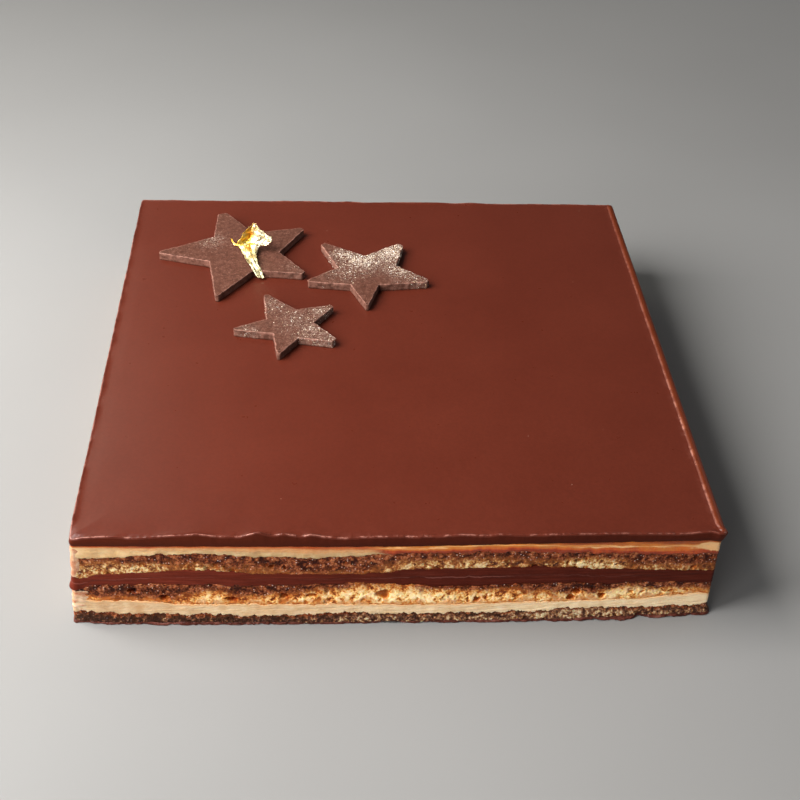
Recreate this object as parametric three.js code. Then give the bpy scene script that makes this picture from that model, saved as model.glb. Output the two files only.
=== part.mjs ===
// A whole opera cake: three coffee-soaked sponges, two layers of buttercream, one layer of
// ganache, a thin chocolate undercoat, a poured chocolate glaze, three cut chocolate stars
// and a crumpled flake of gold leaf.
// Millimetres, +Z up. The origin is the centre of the footprint, on the surface the cake
// stands on. -Y is the front, the side with the widest view of the layers.

import * as THREE from 'three';

// ---------------------------------------------------------------- driving dimensions

const GLAZE_TOP = 31.5;
const SEAM_GAP = 0.2;

// Each side of the cake: its distance from the centre at the glaze (rim) and at the foot,
// how much the foot bows in away from its fullest place (0 = middle, -1 / 1 = the ends),
// how far the glaze overhangs the cut wall, and the size of the slope along its top edge.
const SIDES = {
  front: { rim: 88.5, foot: 92.7, bow: 2.35, fullest: -0.15, overhang: 0.2, slopeWide: 0.7, slopeDeep: 0.5 },
  right: { rim: 88.5, foot: 91.9, bow: 1.35, fullest: 0.4, overhang: 1.8, slopeWide: 2.3, slopeDeep: 1.5 },
  back: { rim: 89.6, foot: 92.7, bow: 1.5, fullest: 0.1, overhang: 0.4, slopeWide: 0.7, slopeDeep: 0.5 },
  left: { rim: 89.7, foot: 91.9, bow: 0.3, fullest: -1, overhang: 0.3, slopeWide: 0.6, slopeDeep: 0.4 },
};
const CORNER_RADIUS = 2;
const POINTS_PER_SIDE = 40;
const POINTS_PER_CORNER = 2;

// Seams between layers, from the bottom up. A wave is [height, count round the cake,
// place of a crest along the front, from its middle].
const SEAMS = {
  undercoatTop: { level: 0.8, waves: [] },
  bottomSpongeTop: { level: 4.1, waves: [[0.35, 5, 35], [0.3, 11, -10], [0.2, 14, 25]] },
  lowerCreamTop: { level: 7.7, waves: [[0.9, 3, -85], [0.4, 6, 24], [0.3, 9, -24]] },
  middleSpongeTop: { level: 13.9, waves: [[1.1, 3, -45], [0.4, 11, -9], [0.5, 16, -21]] },
  ganacheTop: { level: 19.1, waves: [[0.7, 4, -5], [0.8, 7, 29], [0.5, 12, 2]] },
  upperSpongeTop: { level: 25.0, waves: [[0.9, 4, 30], [0.8, 7, 35], [0.3, 12, -6]] },
  upperCreamTop: { level: 28.1, waves: [[0.3, 5, 41], [0.1, 10, -2]] },
};

// The glaze: a small ridge along its top edge, where it set as it ran over, then a flat field.
const GLAZE_CURL = 0.4;
const RIDGE_HEIGHT = 0.3;
const RIDGE_WAVES = [[0.2, 23, 10], [0.15, 37, -4]];
const RIDGE_WIDTH = 2.2;
const RIM_WAVES = [[0.25, 9, 30], [0.2, 17, 5]];

// Relief of the cut walls, as the most that a point stands out of or sinks below them.
const SPONGE_CRAG_OUT = 0.35;
const SPONGE_CRAG_IN = 0.75;
const CREAM_DRAG = 0.2;
const UNDERCOAT_RAG = 0.35;
const UNDERCOAT_FLAKE = { place: 1, reach: 1.2, width: 3 };

// Stars, cut from a sheet of chocolate. Tips are [reach, angle in degrees, blunt width] and
// notches are [reach, angle], both clockwise from the tip at the left or upper left.
const STAR_THICKNESS = 2.7;
const STAR_ARRIS = 0.25;
const STAR_CLEARANCE = 0.3;
const STARS = {
  star_large: {
    centre: [-50.5, 50.1],
    tips: [[28.7, -178, 1.2], [26.9, 107.5, 3.4], [26.5, 36, 1.8], [25.9, -31, 1.8], [30, -104, 1.6]],
    notches: [[13.9, 137.5], [13.1, 73], [13.4, -1.5], [13.1, -68], [12.6, -148]],
  },
  star_medium: {
    centre: [-6.7, 38.1],
    tips: [[23, 130.5, 1.9], [21.7, 53, 2.3], [22.4, -15.5, 1.8], [20.5, -90, 1], [21, -162, 1.1]],
    notches: [[9.7, 90.5], [11.4, 17.5], [9.7, -63], [10.2, -121.5], [9.9, 168.5]],
  },
  star_small: {
    centre: [-32.6, 6],
    tips: [[18.7, 116, 1.7], [17.7, 37, 1.5], [17.1, -30.5, 2], [16.2, -101, 1], [18.2, -171.5, 1.1]],
    notches: [[8.7, 76], [8.1, 8], [8.2, -68], [7.4, -134.5], [8.1, 159]],
  },
};

// The gold leaf is one strip between two edges. It starts on the glaze in a notch of the
// large star, climbs over the star and ends as an upright, crumpled flake.
const LEAF_THICKNESS = 0.3;
const LEAF_STEPS = 18;
const LEAF_STRIPS = 6;
const LEAF_CRUMPLE = 0.55;
const LEAF_LEFT_EDGE = [
  [-44.0, 35.4, 32.6], [-46.6, 39.0, 35.2], [-49.4, 45.0, 35.6], [-51.2, 50.2, 36.2],
  [-50.8, 51.5, 38.4], [-49.2, 51.9, 41.0], [-47.2, 52.1, 42.8], [-45.6, 52.3, 44.4],
];
const LEAF_RIGHT_EDGE = [
  [-41.8, 36.0, 32.4], [-43.4, 39.4, 35.2], [-44.4, 46.4, 35.5], [-43.2, 50.6, 35.9],
  [-39.9, 51.3, 37.6], [-39.6, 51.6, 39.8], [-42.6, 51.9, 41.6], [-44.6, 52.2, 43.9],
];

const MATERIALS = {
  base_coat: { color: 0x3a1a17, roughness: 0.5 },
  bottom_sponge: { color: 0x4a2d1d, roughness: 0.95 },
  lower_buttercream: { color: 0xe6ca9f, roughness: 0.5 },
  middle_sponge: { color: 0x8a5530, roughness: 0.95 },
  ganache: { color: 0x5c2418, roughness: 0.4 },
  upper_sponge: { color: 0x7b5233, roughness: 0.95 },
  upper_buttercream: { color: 0xc79a68, roughness: 0.4 },
  glaze: { color: 0x71331f, roughness: 0.3 },
  star_large: { color: 0x8a5c4e, roughness: 0.6 },
  star_medium: { color: 0x8e6552, roughness: 0.6 },
  star_small: { color: 0x8a5f50, roughness: 0.6 },
  gold_leaf: { color: 0xf2b93a, roughness: 0.25, metalness: 1 },
};

// ---------------------------------------------------------------- outline of the cake

const HALF_SIDE = 90;
const PERIMETER = 8 * HALF_SIDE;
const FIELD_CENTRE = new THREE.Vector2(0, 0);

// A repeatable draw between 0 and 1.
function makeDraw(seed) {
  let state = seed;
  return () => {
    state = (state * 48271) % 2147483647;
    return state / 2147483647;
  };
}

function waveSum(waves, along) {
  return waves.reduce((sum, [height, count, crest]) => (
    sum + height * Math.cos((2 * Math.PI * count * (along - crest)) / PERIMETER)
  ), 0);
}

// Distance of one side from the centre, where along runs from -1 to 1 and z is the height.
function sideReach(side, along, z) {
  const foot = side.foot - side.bow * (along - side.fullest) ** 2;
  return THREE.MathUtils.lerp(foot, side.rim, z / GLAZE_TOP);
}

// Maps a point of the unit square, sides at -1 and 1, onto the cake at height z.
function placeOnCake(u, v, z) {
  const across = u < 0 ? sideReach(SIDES.left, v, z) : sideReach(SIDES.right, v, z);
  const along = v < 0 ? sideReach(SIDES.front, u, z) : sideReach(SIDES.back, u, z);
  return new THREE.Vector3(u * across, v * along, z);
}

// One outline point: its place on the unit square, the way out, the distance round the cake
// from the middle of the front, and how much of each side it belongs to.
function outlinePoint(u, v, outward, along) {
  const share = {
    front: Math.max(0, -outward.y),
    right: Math.max(0, outward.x),
    back: Math.max(0, outward.y),
    left: Math.max(0, -outward.x),
  };
  const total = share.front + share.right + share.back + share.left;
  const measure = (name) => Object.keys(SIDES).reduce((sum, key) => (
    sum + (share[key] / total) * SIDES[key][name]
  ), 0);
  return { u, v, outward, along, measure };
}

// The outline runs anticlockwise from the front left corner: a side, then its corner's arc.
function makeOutline() {
  const points = [];
  const round = CORNER_RADIUS / HALF_SIDE;
  for (let turn = 0; turn < 4; turn += 1) {
    const outward = new THREE.Vector2(0, -1).rotateAround(FIELD_CENTRE, (turn * Math.PI) / 2);
    const onward = new THREE.Vector2(-outward.y, outward.x);
    for (let step = 0; step < POINTS_PER_SIDE; step += 1) {
      const t = (2 * step) / (POINTS_PER_SIDE - 1) - 1;
      const place = outward.clone().addScaledVector(onward, t * (1 - round));
      const along = (turn * 2 + t) * HALF_SIDE;
      points.push(outlinePoint(place.x, place.y, outward, along));
    }
    for (let step = 1; step <= POINTS_PER_CORNER; step += 1) {
      const angle = (step / (POINTS_PER_CORNER + 1)) * (Math.PI / 2);
      const facing = outward.clone().rotateAround(FIELD_CENTRE, angle);
      const centre = outward.clone().add(onward).multiplyScalar(1 - round);
      const place = centre.addScaledVector(facing, round);
      points.push(outlinePoint(place.x, place.y, facing, (turn * 2 + 1) * HALF_SIDE));
    }
  }
  return points;
}

const OUTLINE = makeOutline();

function seamHeight(seam, along) {
  return seam.level + waveSum(seam.waves, along);
}

// A ring of points round the cake; height and reach are functions of the outline point.
function makeRing(height, reach = () => 0) {
  return OUTLINE.map((point) => {
    const z = height(point);
    const place = placeOnCake(point.u, point.v, z);
    const out = reach(point);
    place.x += point.outward.x * out;
    place.y += point.outward.y * out;
    return place;
  });
}

// ---------------------------------------------------------------- solids

function makeGeometry(vertices, triangles) {
  const geometry = new THREE.BufferGeometry();
  const flat = vertices.flatMap((vertex) => vertex.toArray());
  geometry.setAttribute('position', new THREE.Float32BufferAttribute(flat, 3));
  geometry.setIndex(triangles.flat());
  geometry.computeVertexNormals();
  return geometry;
}

// Closes a stack of rings, lowest first, with a fan of triangles below and one above.
function stackRings(rings, floorLevel, roofLevel) {
  const count = rings[0].length;
  const vertices = rings.flat();
  const floorCentre = vertices.push(new THREE.Vector3(0, 0, floorLevel)) - 1;
  const roofCentre = vertices.push(new THREE.Vector3(0, 0, roofLevel)) - 1;
  const lastRing = (rings.length - 1) * count;
  const triangles = [];
  for (let i = 0; i < count; i += 1) {
    const next = (i + 1) % count;
    triangles.push([floorCentre, next, i]);
    triangles.push([roofCentre, lastRing + i, lastRing + next]);
    for (let row = 0; row < lastRing; row += count) {
      triangles.push([row + i, row + next, row + count + next]);
      triangles.push([row + i, row + count + next, row + count + i]);
    }
  }
  return makeGeometry(vertices, triangles);
}

function addMesh(group, name, geometry) {
  const mesh = new THREE.Mesh(geometry, new THREE.MeshStandardMaterial(MATERIALS[name]));
  mesh.name = name;
  group.add(mesh);
}

// A layer between two seams. rows are the shares of its height at which its wall has a ring,
// and relief(point, row) is how far the wall stands out there.
function addLayer(group, name, floor, roof, rows, relief) {
  const low = (point) => seamHeight(floor, point.along) + SEAM_GAP / 2;
  const high = (point) => seamHeight(roof, point.along) - SEAM_GAP / 2;
  const rings = [makeRing(low)];
  rows.forEach((share, row) => {
    const height = (point) => THREE.MathUtils.lerp(low(point), high(point), share);
    rings.push(makeRing(height, (point) => relief(point, row)));
  });
  rings.push(makeRing(high));
  addMesh(group, name, stackRings(rings, floor.level + SEAM_GAP / 2, roof.level - SEAM_GAP / 2));
}

function spongeRelief(seed) {
  const draw = makeDraw(seed);
  return () => THREE.MathUtils.lerp(-SPONGE_CRAG_IN, SPONGE_CRAG_OUT, draw());
}

function creamRelief(crest) {
  return (point) => waveSum([[CREAM_DRAG, 13, crest], [CREAM_DRAG / 2, 31, crest]], point.along);
}

function addUndercoat(group) {
  const draw = makeDraw(7);
  const flakePlace = HALF_SIDE - UNDERCOAT_FLAKE.place;
  const rag = OUTLINE.map((point) => {
    const fromFlake = (point.along - flakePlace) / UNDERCOAT_FLAKE.width;
    return -UNDERCOAT_RAG * draw() + UNDERCOAT_FLAKE.reach * Math.exp(-(fromFlake ** 2));
  });
  const reach = (point) => rag[OUTLINE.indexOf(point)];
  const top = SEAMS.undercoatTop.level - SEAM_GAP / 2;
  addMesh(group, 'base_coat', stackRings([makeRing(() => 0, reach), makeRing(() => top, reach)], 0, top));
}

function addGlaze(group) {
  const seam = (point) => seamHeight(SEAMS.upperCreamTop, point.along) + SEAM_GAP / 2;
  const curl = (point) => seam(point) + GLAZE_CURL;
  const ripple = (point) => waveSum(RIM_WAVES, point.along) * (point.measure('overhang') > 1 ? 0.4 : 1);
  const ridge = (point) => GLAZE_TOP + RIDGE_HEIGHT + waveSum(RIDGE_WAVES, point.along);
  const rings = [
    makeRing(seam),
    makeRing(curl, (point) => point.measure('overhang')),
    makeRing((point) => ridge(point) - point.measure('slopeDeep'),
      (point) => point.measure('overhang') + ripple(point)),
    makeRing(ridge, (point) => point.measure('overhang') - point.measure('slopeWide') + ripple(point)),
    makeRing(() => GLAZE_TOP,
      (point) => point.measure('overhang') - point.measure('slopeWide') - RIDGE_WIDTH),
  ];
  addMesh(group, 'glaze', stackRings(rings, SEAMS.upperCreamTop.level + SEAM_GAP / 2, GLAZE_TOP));
}

function polarPoint(reach, degrees) {
  const angle = THREE.MathUtils.degToRad(degrees);
  return new THREE.Vector2(reach * Math.cos(angle), reach * Math.sin(angle));
}

// A star's outline: each tip is cut blunt, with its two corners eased by a curve.
function starShape({ tips, notches }) {
  const shape = new THREE.Shape();
  tips.forEach(([reach, degrees, blunt], index) => {
    const tip = polarPoint(reach, degrees);
    const before = polarPoint(...notches[(index + 4) % 5]);
    const after = polarPoint(...notches[index]);
    const across = new THREE.Vector2(tip.y, -tip.x).setLength(blunt / 2);
    const first = tip.clone().sub(across);
    const last = tip.clone().add(across);
    const easing = blunt / 2;
    const enter = first.clone().add(before.clone().sub(first).setLength(easing));
    const leave = last.clone().add(after.clone().sub(last).setLength(easing));
    if (index === 0) {
      shape.moveTo(enter.x, enter.y);
    } else {
      shape.lineTo(enter.x, enter.y);
    }
    shape.quadraticCurveTo(first.x, first.y, tip.x, tip.y);
    shape.quadraticCurveTo(last.x, last.y, leave.x, leave.y);
    shape.lineTo(after.x, after.y);
  });
  shape.closePath();
  return shape;
}

function addStar(group, name) {
  const star = STARS[name];
  const geometry = new THREE.ExtrudeGeometry(starShape(star), {
    depth: STAR_THICKNESS - STAR_CLEARANCE - 2 * STAR_ARRIS,
    curveSegments: 2,
    bevelThickness: STAR_ARRIS,
    bevelSize: STAR_ARRIS,
    bevelOffset: -STAR_ARRIS,
    bevelSegments: 1,
  });
  geometry.translate(star.centre[0], star.centre[1], GLAZE_TOP + STAR_CLEARANCE + STAR_ARRIS);
  addMesh(group, name, geometry);
}

function curveThrough(points) {
  return new THREE.CatmullRomCurve3(points.map((point) => new THREE.Vector3(...point)));
}

function addGoldLeaf(group) {
  const leftEdge = curveThrough(LEAF_LEFT_EDGE);
  const rightEdge = curveThrough(LEAF_RIGHT_EDGE);
  const rowLength = LEAF_STRIPS + 1;
  const front = [];
  const back = [];
  for (let step = 0; step <= LEAF_STEPS; step += 1) {
    const t = step / LEAF_STEPS;
    const left = leftEdge.getPoint(t);
    const right = rightEdge.getPoint(t);
    const onward = leftEdge.getTangent(t).add(rightEdge.getTangent(t));
    const facing = right.clone().sub(left).cross(onward).normalize();
    const rise = THREE.MathUtils.smoothstep(t, 0.5, 0.75);
    for (let strip = 0; strip <= LEAF_STRIPS; strip += 1) {
      const share = strip / LEAF_STRIPS;
      const fold = Math.sin(9 * share + 7 * t) * Math.sin(Math.PI * share);
      const lift = LEAF_CRUMPLE * (0.3 + rise) * (fold + 1 - rise);
      const middle = left.clone().lerp(right, share).addScaledVector(facing, lift);
      front.push(middle.clone().addScaledVector(facing, LEAF_THICKNESS / 2));
      back.push(middle.clone().addScaledVector(facing, -LEAF_THICKNESS / 2));
    }
  }
  const triangles = [];
  const addQuad = (a, b, c, d) => triangles.push([a, b, c], [a, c, d]);
  const backStart = front.length;
  for (let step = 0; step < LEAF_STEPS; step += 1) {
    for (let strip = 0; strip < LEAF_STRIPS; strip += 1) {
      const a = step * rowLength + strip;
      const [b, c, d] = [a + 1, a + 1 + rowLength, a + rowLength];
      triangles.push([a, b, c], [a, c, d]);
      triangles.push([backStart + a, backStart + c, backStart + b]);
      triangles.push([backStart + a, backStart + d, backStart + c]);
    }
  }
  const lastRow = LEAF_STEPS * rowLength;
  for (let strip = 0; strip < LEAF_STRIPS; strip += 1) {
    addQuad(strip + 1, strip, backStart + strip, backStart + strip + 1);
    const end = lastRow + strip;
    addQuad(end, end + 1, backStart + end + 1, backStart + end);
  }
  for (let step = 0; step < LEAF_STEPS; step += 1) {
    const leftRow = step * rowLength;
    const rightRow = leftRow + LEAF_STRIPS;
    addQuad(leftRow, leftRow + rowLength, backStart + leftRow + rowLength, backStart + leftRow);
    addQuad(rightRow + rowLength, rightRow, backStart + rightRow, backStart + rightRow + rowLength);
  }
  addMesh(group, 'gold_leaf', makeGeometry([...front, ...back], triangles));
}

// ---------------------------------------------------------------- the cake

const SPONGE_ROWS = [0.3, 0.7];
const CREAM_ROWS = [0.5];

const cake = new THREE.Group();
addUndercoat(cake);
addLayer(cake, 'bottom_sponge', SEAMS.undercoatTop, SEAMS.bottomSpongeTop, SPONGE_ROWS, spongeRelief(11));
addLayer(cake, 'lower_buttercream', SEAMS.bottomSpongeTop, SEAMS.lowerCreamTop, CREAM_ROWS, creamRelief(15));
addLayer(cake, 'middle_sponge', SEAMS.lowerCreamTop, SEAMS.middleSpongeTop, SPONGE_ROWS, spongeRelief(23));
addLayer(cake, 'ganache', SEAMS.middleSpongeTop, SEAMS.ganacheTop, CREAM_ROWS, creamRelief(-30));
addLayer(cake, 'upper_sponge', SEAMS.ganacheTop, SEAMS.upperSpongeTop, SPONGE_ROWS, spongeRelief(37));
addLayer(cake, 'upper_buttercream', SEAMS.upperSpongeTop, SEAMS.upperCreamTop, CREAM_ROWS, creamRelief(40));
addGlaze(cake);
Object.keys(STARS).forEach((name) => addStar(cake, name));
addGoldLeaf(cake);

// The footprint's ragged outline is centred on the origin.
const extent = new THREE.Box3().setFromObject(cake);
const middle = extent.getCenter(new THREE.Vector3());
cake.position.set(-middle.x, -middle.y, 0);
cake.updateMatrixWorld(true);

export default cake;
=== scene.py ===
import math

import bpy
import numpy as np
from mathutils import Matrix, Vector


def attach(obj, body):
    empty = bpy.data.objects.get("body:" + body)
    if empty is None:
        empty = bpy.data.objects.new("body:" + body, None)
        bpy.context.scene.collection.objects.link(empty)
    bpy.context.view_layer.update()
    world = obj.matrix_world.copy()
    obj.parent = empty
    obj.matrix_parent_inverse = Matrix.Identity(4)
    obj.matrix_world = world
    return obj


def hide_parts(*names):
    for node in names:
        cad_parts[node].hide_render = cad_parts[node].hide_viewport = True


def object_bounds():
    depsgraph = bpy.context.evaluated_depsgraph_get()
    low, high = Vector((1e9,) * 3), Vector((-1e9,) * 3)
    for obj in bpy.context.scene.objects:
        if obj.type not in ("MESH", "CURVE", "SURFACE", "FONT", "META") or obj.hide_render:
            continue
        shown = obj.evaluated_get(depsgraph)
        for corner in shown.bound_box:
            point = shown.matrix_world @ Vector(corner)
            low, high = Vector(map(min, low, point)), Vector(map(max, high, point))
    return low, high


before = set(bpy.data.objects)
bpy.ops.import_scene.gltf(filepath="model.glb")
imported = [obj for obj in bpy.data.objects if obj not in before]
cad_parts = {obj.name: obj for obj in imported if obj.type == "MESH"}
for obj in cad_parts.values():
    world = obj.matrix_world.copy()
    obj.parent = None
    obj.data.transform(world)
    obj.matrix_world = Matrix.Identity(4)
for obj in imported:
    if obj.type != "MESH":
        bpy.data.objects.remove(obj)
cad_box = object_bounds()
MM = 0.001

# ---------------------------------------------------------------- camera, light and floor
# The view is a close one from above the front, turned a little to the left, so that the top
# and the front wall show. Light comes from a soft window at the left and one at the front left,
# and a little from the right and from behind.

LENS = 56.47
EYE = (-22.25, -330.41, 275.89)
HEADING = math.radians(4.65)
TILT_DOWN = math.radians(39.05)
LEAN = math.radians(2.98)


def turned_axes(heading, down, lean):
    """The view's right, up and forward directions."""
    forward = Vector((
        math.sin(heading) * math.cos(down), math.cos(heading) * math.cos(down), -math.sin(down)
    ))
    level = Vector((math.cos(heading), -math.sin(heading), 0))
    upright = level.cross(forward)
    right = math.cos(lean) * level + math.sin(lean) * upright
    up = math.cos(lean) * upright - math.sin(lean) * level
    return right, up, forward


def add_camera():
    camera = bpy.data.objects.new("camera", bpy.data.cameras.new("camera"))
    camera.data.lens = LENS
    camera.data.sensor_width = 36
    camera.data.clip_start = 0.01
    right, up, forward = turned_axes(HEADING, TILT_DOWN, LEAN)
    axes = Matrix((right, up, -forward)).transposed().to_4x4()
    camera.matrix_world = Matrix.Translation(Vector(EYE) * MM) @ axes
    bpy.context.collection.objects.link(camera)
    bpy.context.scene.camera = camera


def add_window(name, place, aim, size, watts, tint, mirrored=True):
    """A soft window; one that isn't mirrored lights a surface but leaves no bright image in its gloss."""
    light = bpy.data.lights.new(name, "AREA")
    light.shape = "RECTANGLE"
    light.size, light.size_y = size
    light.energy = watts
    light.color = tint
    window = bpy.data.objects.new(name, light)
    turn = (Vector(aim) - Vector(place)).to_track_quat("-Z", "Y")
    window.matrix_world = Matrix.Translation(Vector(place)) @ turn.to_matrix().to_4x4()
    window.visible_camera = False
    window.visible_glossy = mirrored
    bpy.context.collection.objects.link(window)


def add_node(tree, kind, inputs=None, **settings):
    """A new node; inputs maps a socket's name or number to a value or to another socket."""
    node = tree.nodes.new(kind)
    for key, value in settings.items():
        setattr(node, key, value)
    for key, value in (inputs or {}).items():
        if isinstance(value, bpy.types.NodeSocket):
            tree.links.new(value, node.inputs[key])
        else:
            node.inputs[key].default_value = value
    return node


def remap(tree, value, low, high, new_low=0.0, new_high=1.0, kind="SMOOTHSTEP"):
    sockets = {"Value": value, 1: low, 2: high, 3: new_low, 4: new_high}
    return add_node(tree, "ShaderNodeMapRange", sockets, interpolation_type=kind).outputs[0]


def noise(tree, vector, scale, detail=2.0, roughness=0.5, output="Fac"):
    sockets = {"Vector": vector, "Scale": scale, "Detail": detail, "Roughness": roughness}
    return add_node(tree, "ShaderNodeTexNoise", sockets).outputs[output]


def blend(tree, share, first, second, mode="MIX"):
    mix = add_node(tree, "ShaderNodeMix", data_type="RGBA", blend_type=mode)
    for number, value in ((0, share), (6, first), (7, second)):
        if isinstance(value, bpy.types.NodeSocket):
            tree.links.new(value, mix.inputs[number])
        else:
            mix.inputs[number].default_value = value
    return mix.outputs[2]


def ramp(tree, value, stops):
    """A run of colours; stops are (place, (r, g, b)) from low to high."""
    node = add_node(tree, "ShaderNodeValToRGB", {0: value})
    elements = node.color_ramp.elements
    while len(elements) < len(stops):
        elements.new(1.0)
    for element, (place, colour) in zip(elements, stops):
        element.position = place
        element.color = (*colour, 1)
    return node.outputs[0]


def new_material(name, **sockets):
    """A material with its shader; sockets are set on the shader itself."""
    material = bpy.data.materials.new(name)
    material.use_nodes = True
    shader = material.node_tree.nodes["Principled BSDF"]
    for key, value in sockets.items():
        shader.inputs[key.replace("_", " ")].default_value = value
    return material, material.node_tree, shader


def object_place(tree):
    return add_node(tree, "ShaderNodeTexCoord").outputs["Object"]


def add_floor():
    """Plain pale paper, made lighter further out, where less of the windows' light reaches it."""
    mesh = bpy.data.meshes.new("floor")
    reach, near, far = 3.0, 0.45, 1.1
    mesh.from_pydata([(-reach, -reach, 0), (reach, -reach, 0), (reach, reach, 0), (-reach, reach, 0)],
                     [], [(0, 1, 2, 3)])
    floor = bpy.data.objects.new("floor", mesh)
    bpy.context.collection.objects.link(floor)
    material, tree, shader = new_material("pale_paper", Roughness=0.8, Specular_IOR_Level=0.2)
    place = object_place(tree)
    cloud = noise(tree, place, 6.0)
    tone = ramp(tree, cloud, [(0.3, (0.195, 0.193, 0.19)), (0.7, (0.21, 0.208, 0.205))])
    away = add_node(tree, "ShaderNodeVectorMath", {0: place}, operation="LENGTH").outputs["Value"]
    tone = blend(tree, remap(tree, away, near, far), tone, (0.45, 0.446, 0.44, 1))
    tree.links.new(tone, shader.inputs["Base Color"])
    mesh.materials.append(material)


add_camera()
add_window("window_left", (-0.38, -0.06, 0.38), (0, 0, 0.02), (0.42, 0.42), 9.9, (1.0, 0.98, 0.95))
add_window("window_front", (-0.95, -1.3, 0.41), (0, 0, 0.02), (0.8, 0.65), 21.0, (1.0, 0.99, 0.97), False)
add_window("window_right", (0.95, 0.4, 0.5), (0, 0, 0.02), (0.8, 0.5), 2.6, (0.97, 0.98, 1.0))
add_window("window_back", (-0.5, 0.8, 0.75), (0, 0, 0.02), (0.5, 0.4), 1.9, (1.0, 0.97, 0.8))
add_floor()
world = bpy.data.worlds.new("room")
world.use_nodes = True
world.node_tree.nodes["Background"].inputs["Color"].default_value = (0.85, 0.88, 0.92, 1)
world.node_tree.nodes["Background"].inputs["Strength"].default_value = 0.08
bpy.context.scene.world = world
bpy.context.scene.view_settings.view_transform = "Standard"

# ---------------------------------------------------------------- undercoat
# A film of dark chocolate brushed under the lowest sponge so that it doesn't stick. It is cut
# with the cake and breaks off in small chips and scallops along the foot.

# The cake's outline and seams, in millimetres. A side's rim and foot are its distances from the
# middle; its foot draws in by bow from where it is fullest, a place along the side from -1 to 1.
GLAZE_TOP = 31.5
HALF_SIDE = 90.0
PERIMETER = 8 * HALF_SIDE
CORNER_RADIUS = 0.9
AROUND = 2880
SIDES = {
    "front": dict(rim=88.5, foot=92.7, bow=2.35, fullest=-0.15),
    "right": dict(rim=89.5, foot=91.9, bow=1.1, fullest=0.25),
    "back": dict(rim=89.6, foot=92.7, bow=1.5, fullest=0.1),
    "left": dict(rim=89.7, foot=91.9, bow=0.3, fullest=-1.0),
}
# A seam is a sum of waves (height, count round the cake, place of a crest) about its level, with
# its own (place, height) along the front. Rag is how ragged the cut is, tooth the rags' spacing.
SEAMS = {
    "undercoat_top": dict(level=0.8, waves=[], front=[], rag=0.2),
    "bottom_sponge_top": dict(
        level=4.1, waves=[(0.35, 5, 35), (0.3, 11, -10), (0.2, 14, 25)], rag=0.42, tooth=1.4,
        front=[(-88, 4.5), (-78, 3.8), (-58, 3.5), (-51, 4.1), (-45, 3.1), (-38, 3.6), (-27, 3.5),
               (-14, 4.7), (-5, 3.8), (12, 3.7), (40, 3.5), (55, 4.4), (66, 3.7), (88, 3.4)]),
    "lower_cream_top": dict(
        level=7.7, waves=[(0.9, 3, -85), (0.4, 6, 24), (0.3, 9, -24)], rag=0.25,
        front=[(-88, 8.9), (-82, 8.3), (-72, 8.7), (-64, 7.5), (-14, 7.3), (6, 6.7), (30, 6.9),
               (62, 6.9), (74, 7.1), (88, 8.2)]),
    "middle_sponge_top": dict(
        level=13.9, waves=[(1.1, 3, -45), (0.4, 11, -9), (0.5, 16, -21)], rag=0.32,
        front=[(-90, 12.6), (-84, 14.1), (-66, 14.4), (-28, 14.2), (-12, 14.8), (0, 14.1),
               (14, 13.2), (34, 13.4), (50, 13.9), (60, 12.6), (68, 13.6), (88, 12.3)]),
    "ganache_top": dict(
        level=19.1, waves=[(0.7, 4, -5), (0.8, 7, 29), (0.5, 12, 2)], rag=0.22,
        front=[(-90, 15.9), (-83, 18.1), (-70, 18.7), (-58, 19.8), (-48, 18.9), (-30, 18.0),
               (-10, 18.0), (4, 19.6), (42, 19.8), (56, 18.9), (72, 17.9), (88, 17.2)]),
    "upper_sponge_top": dict(
        level=25.0, waves=[(0.9, 4, 30), (0.8, 7, 35), (0.3, 12, -6)], rag=0.32,
        front=[(-88, 24.0), (-80, 23.9), (-72, 25.1), (-60, 25.3), (-52, 25.4), (-44, 24.3),
               (-22, 23.9), (-8, 24.6), (6, 25.4), (36, 25.2), (56, 24.6), (76, 24.0), (88, 23.8)]),
    "upper_cream_top": dict(
        level=28.1, waves=[(0.3, 5, 41), (0.1, 10, -2)], rag=0.07,
        front=[(-88, 28.2), (-52, 27.95), (-14, 27.6), (6, 27.6), (30, 28.05), (88, 28.75)]),
}


def walk_round():
    """The outline on the unit square, the way out, and the distance from the front's middle."""
    round_share = CORNER_RADIUS / HALF_SIDE
    straight = 2 * (1 - round_share)
    arc = math.pi / 2 * round_share
    step = np.arange(AROUND) * 4 / AROUND
    turn = np.floor(step).astype(int)
    path = (step - turn) * (straight + arc)
    on_side = np.minimum(path, straight) - straight / 2
    angle = np.maximum(path - straight, 0) / round_share
    u = on_side + round_share * np.sin(angle)
    v = -(1 - round_share) - round_share * np.cos(angle)
    facing = turn * math.pi / 2
    cos, sin = np.cos(facing), np.sin(facing)
    out_x, out_y = np.sin(angle), -np.cos(angle)
    return dict(
        u=u * cos - v * sin,
        v=u * sin + v * cos,
        x=out_x * cos - out_y * sin,
        y=out_x * sin + out_y * cos,
        along=(turn * 2 + on_side / (1 - round_share)) * HALF_SIDE,
    )


OUTLINE = walk_round()


def wave_sum(waves, along):
    total = np.zeros_like(along)
    for height, count, crest in waves:
        total += height * np.cos(2 * np.pi * count * (along - crest) / PERIMETER)
    return total


def eased(values, reach):
    """Values round the cake with their kinks smoothed out over reach."""
    half = max(1, int(reach / PERIMETER * AROUND / 2))
    kernel = np.hanning(2 * half + 3)[1:-1]
    wrapped = np.concatenate([values[-half:], values, values[:half]])
    return np.convolve(wrapped, kernel / kernel.sum(), "valid")


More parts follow.
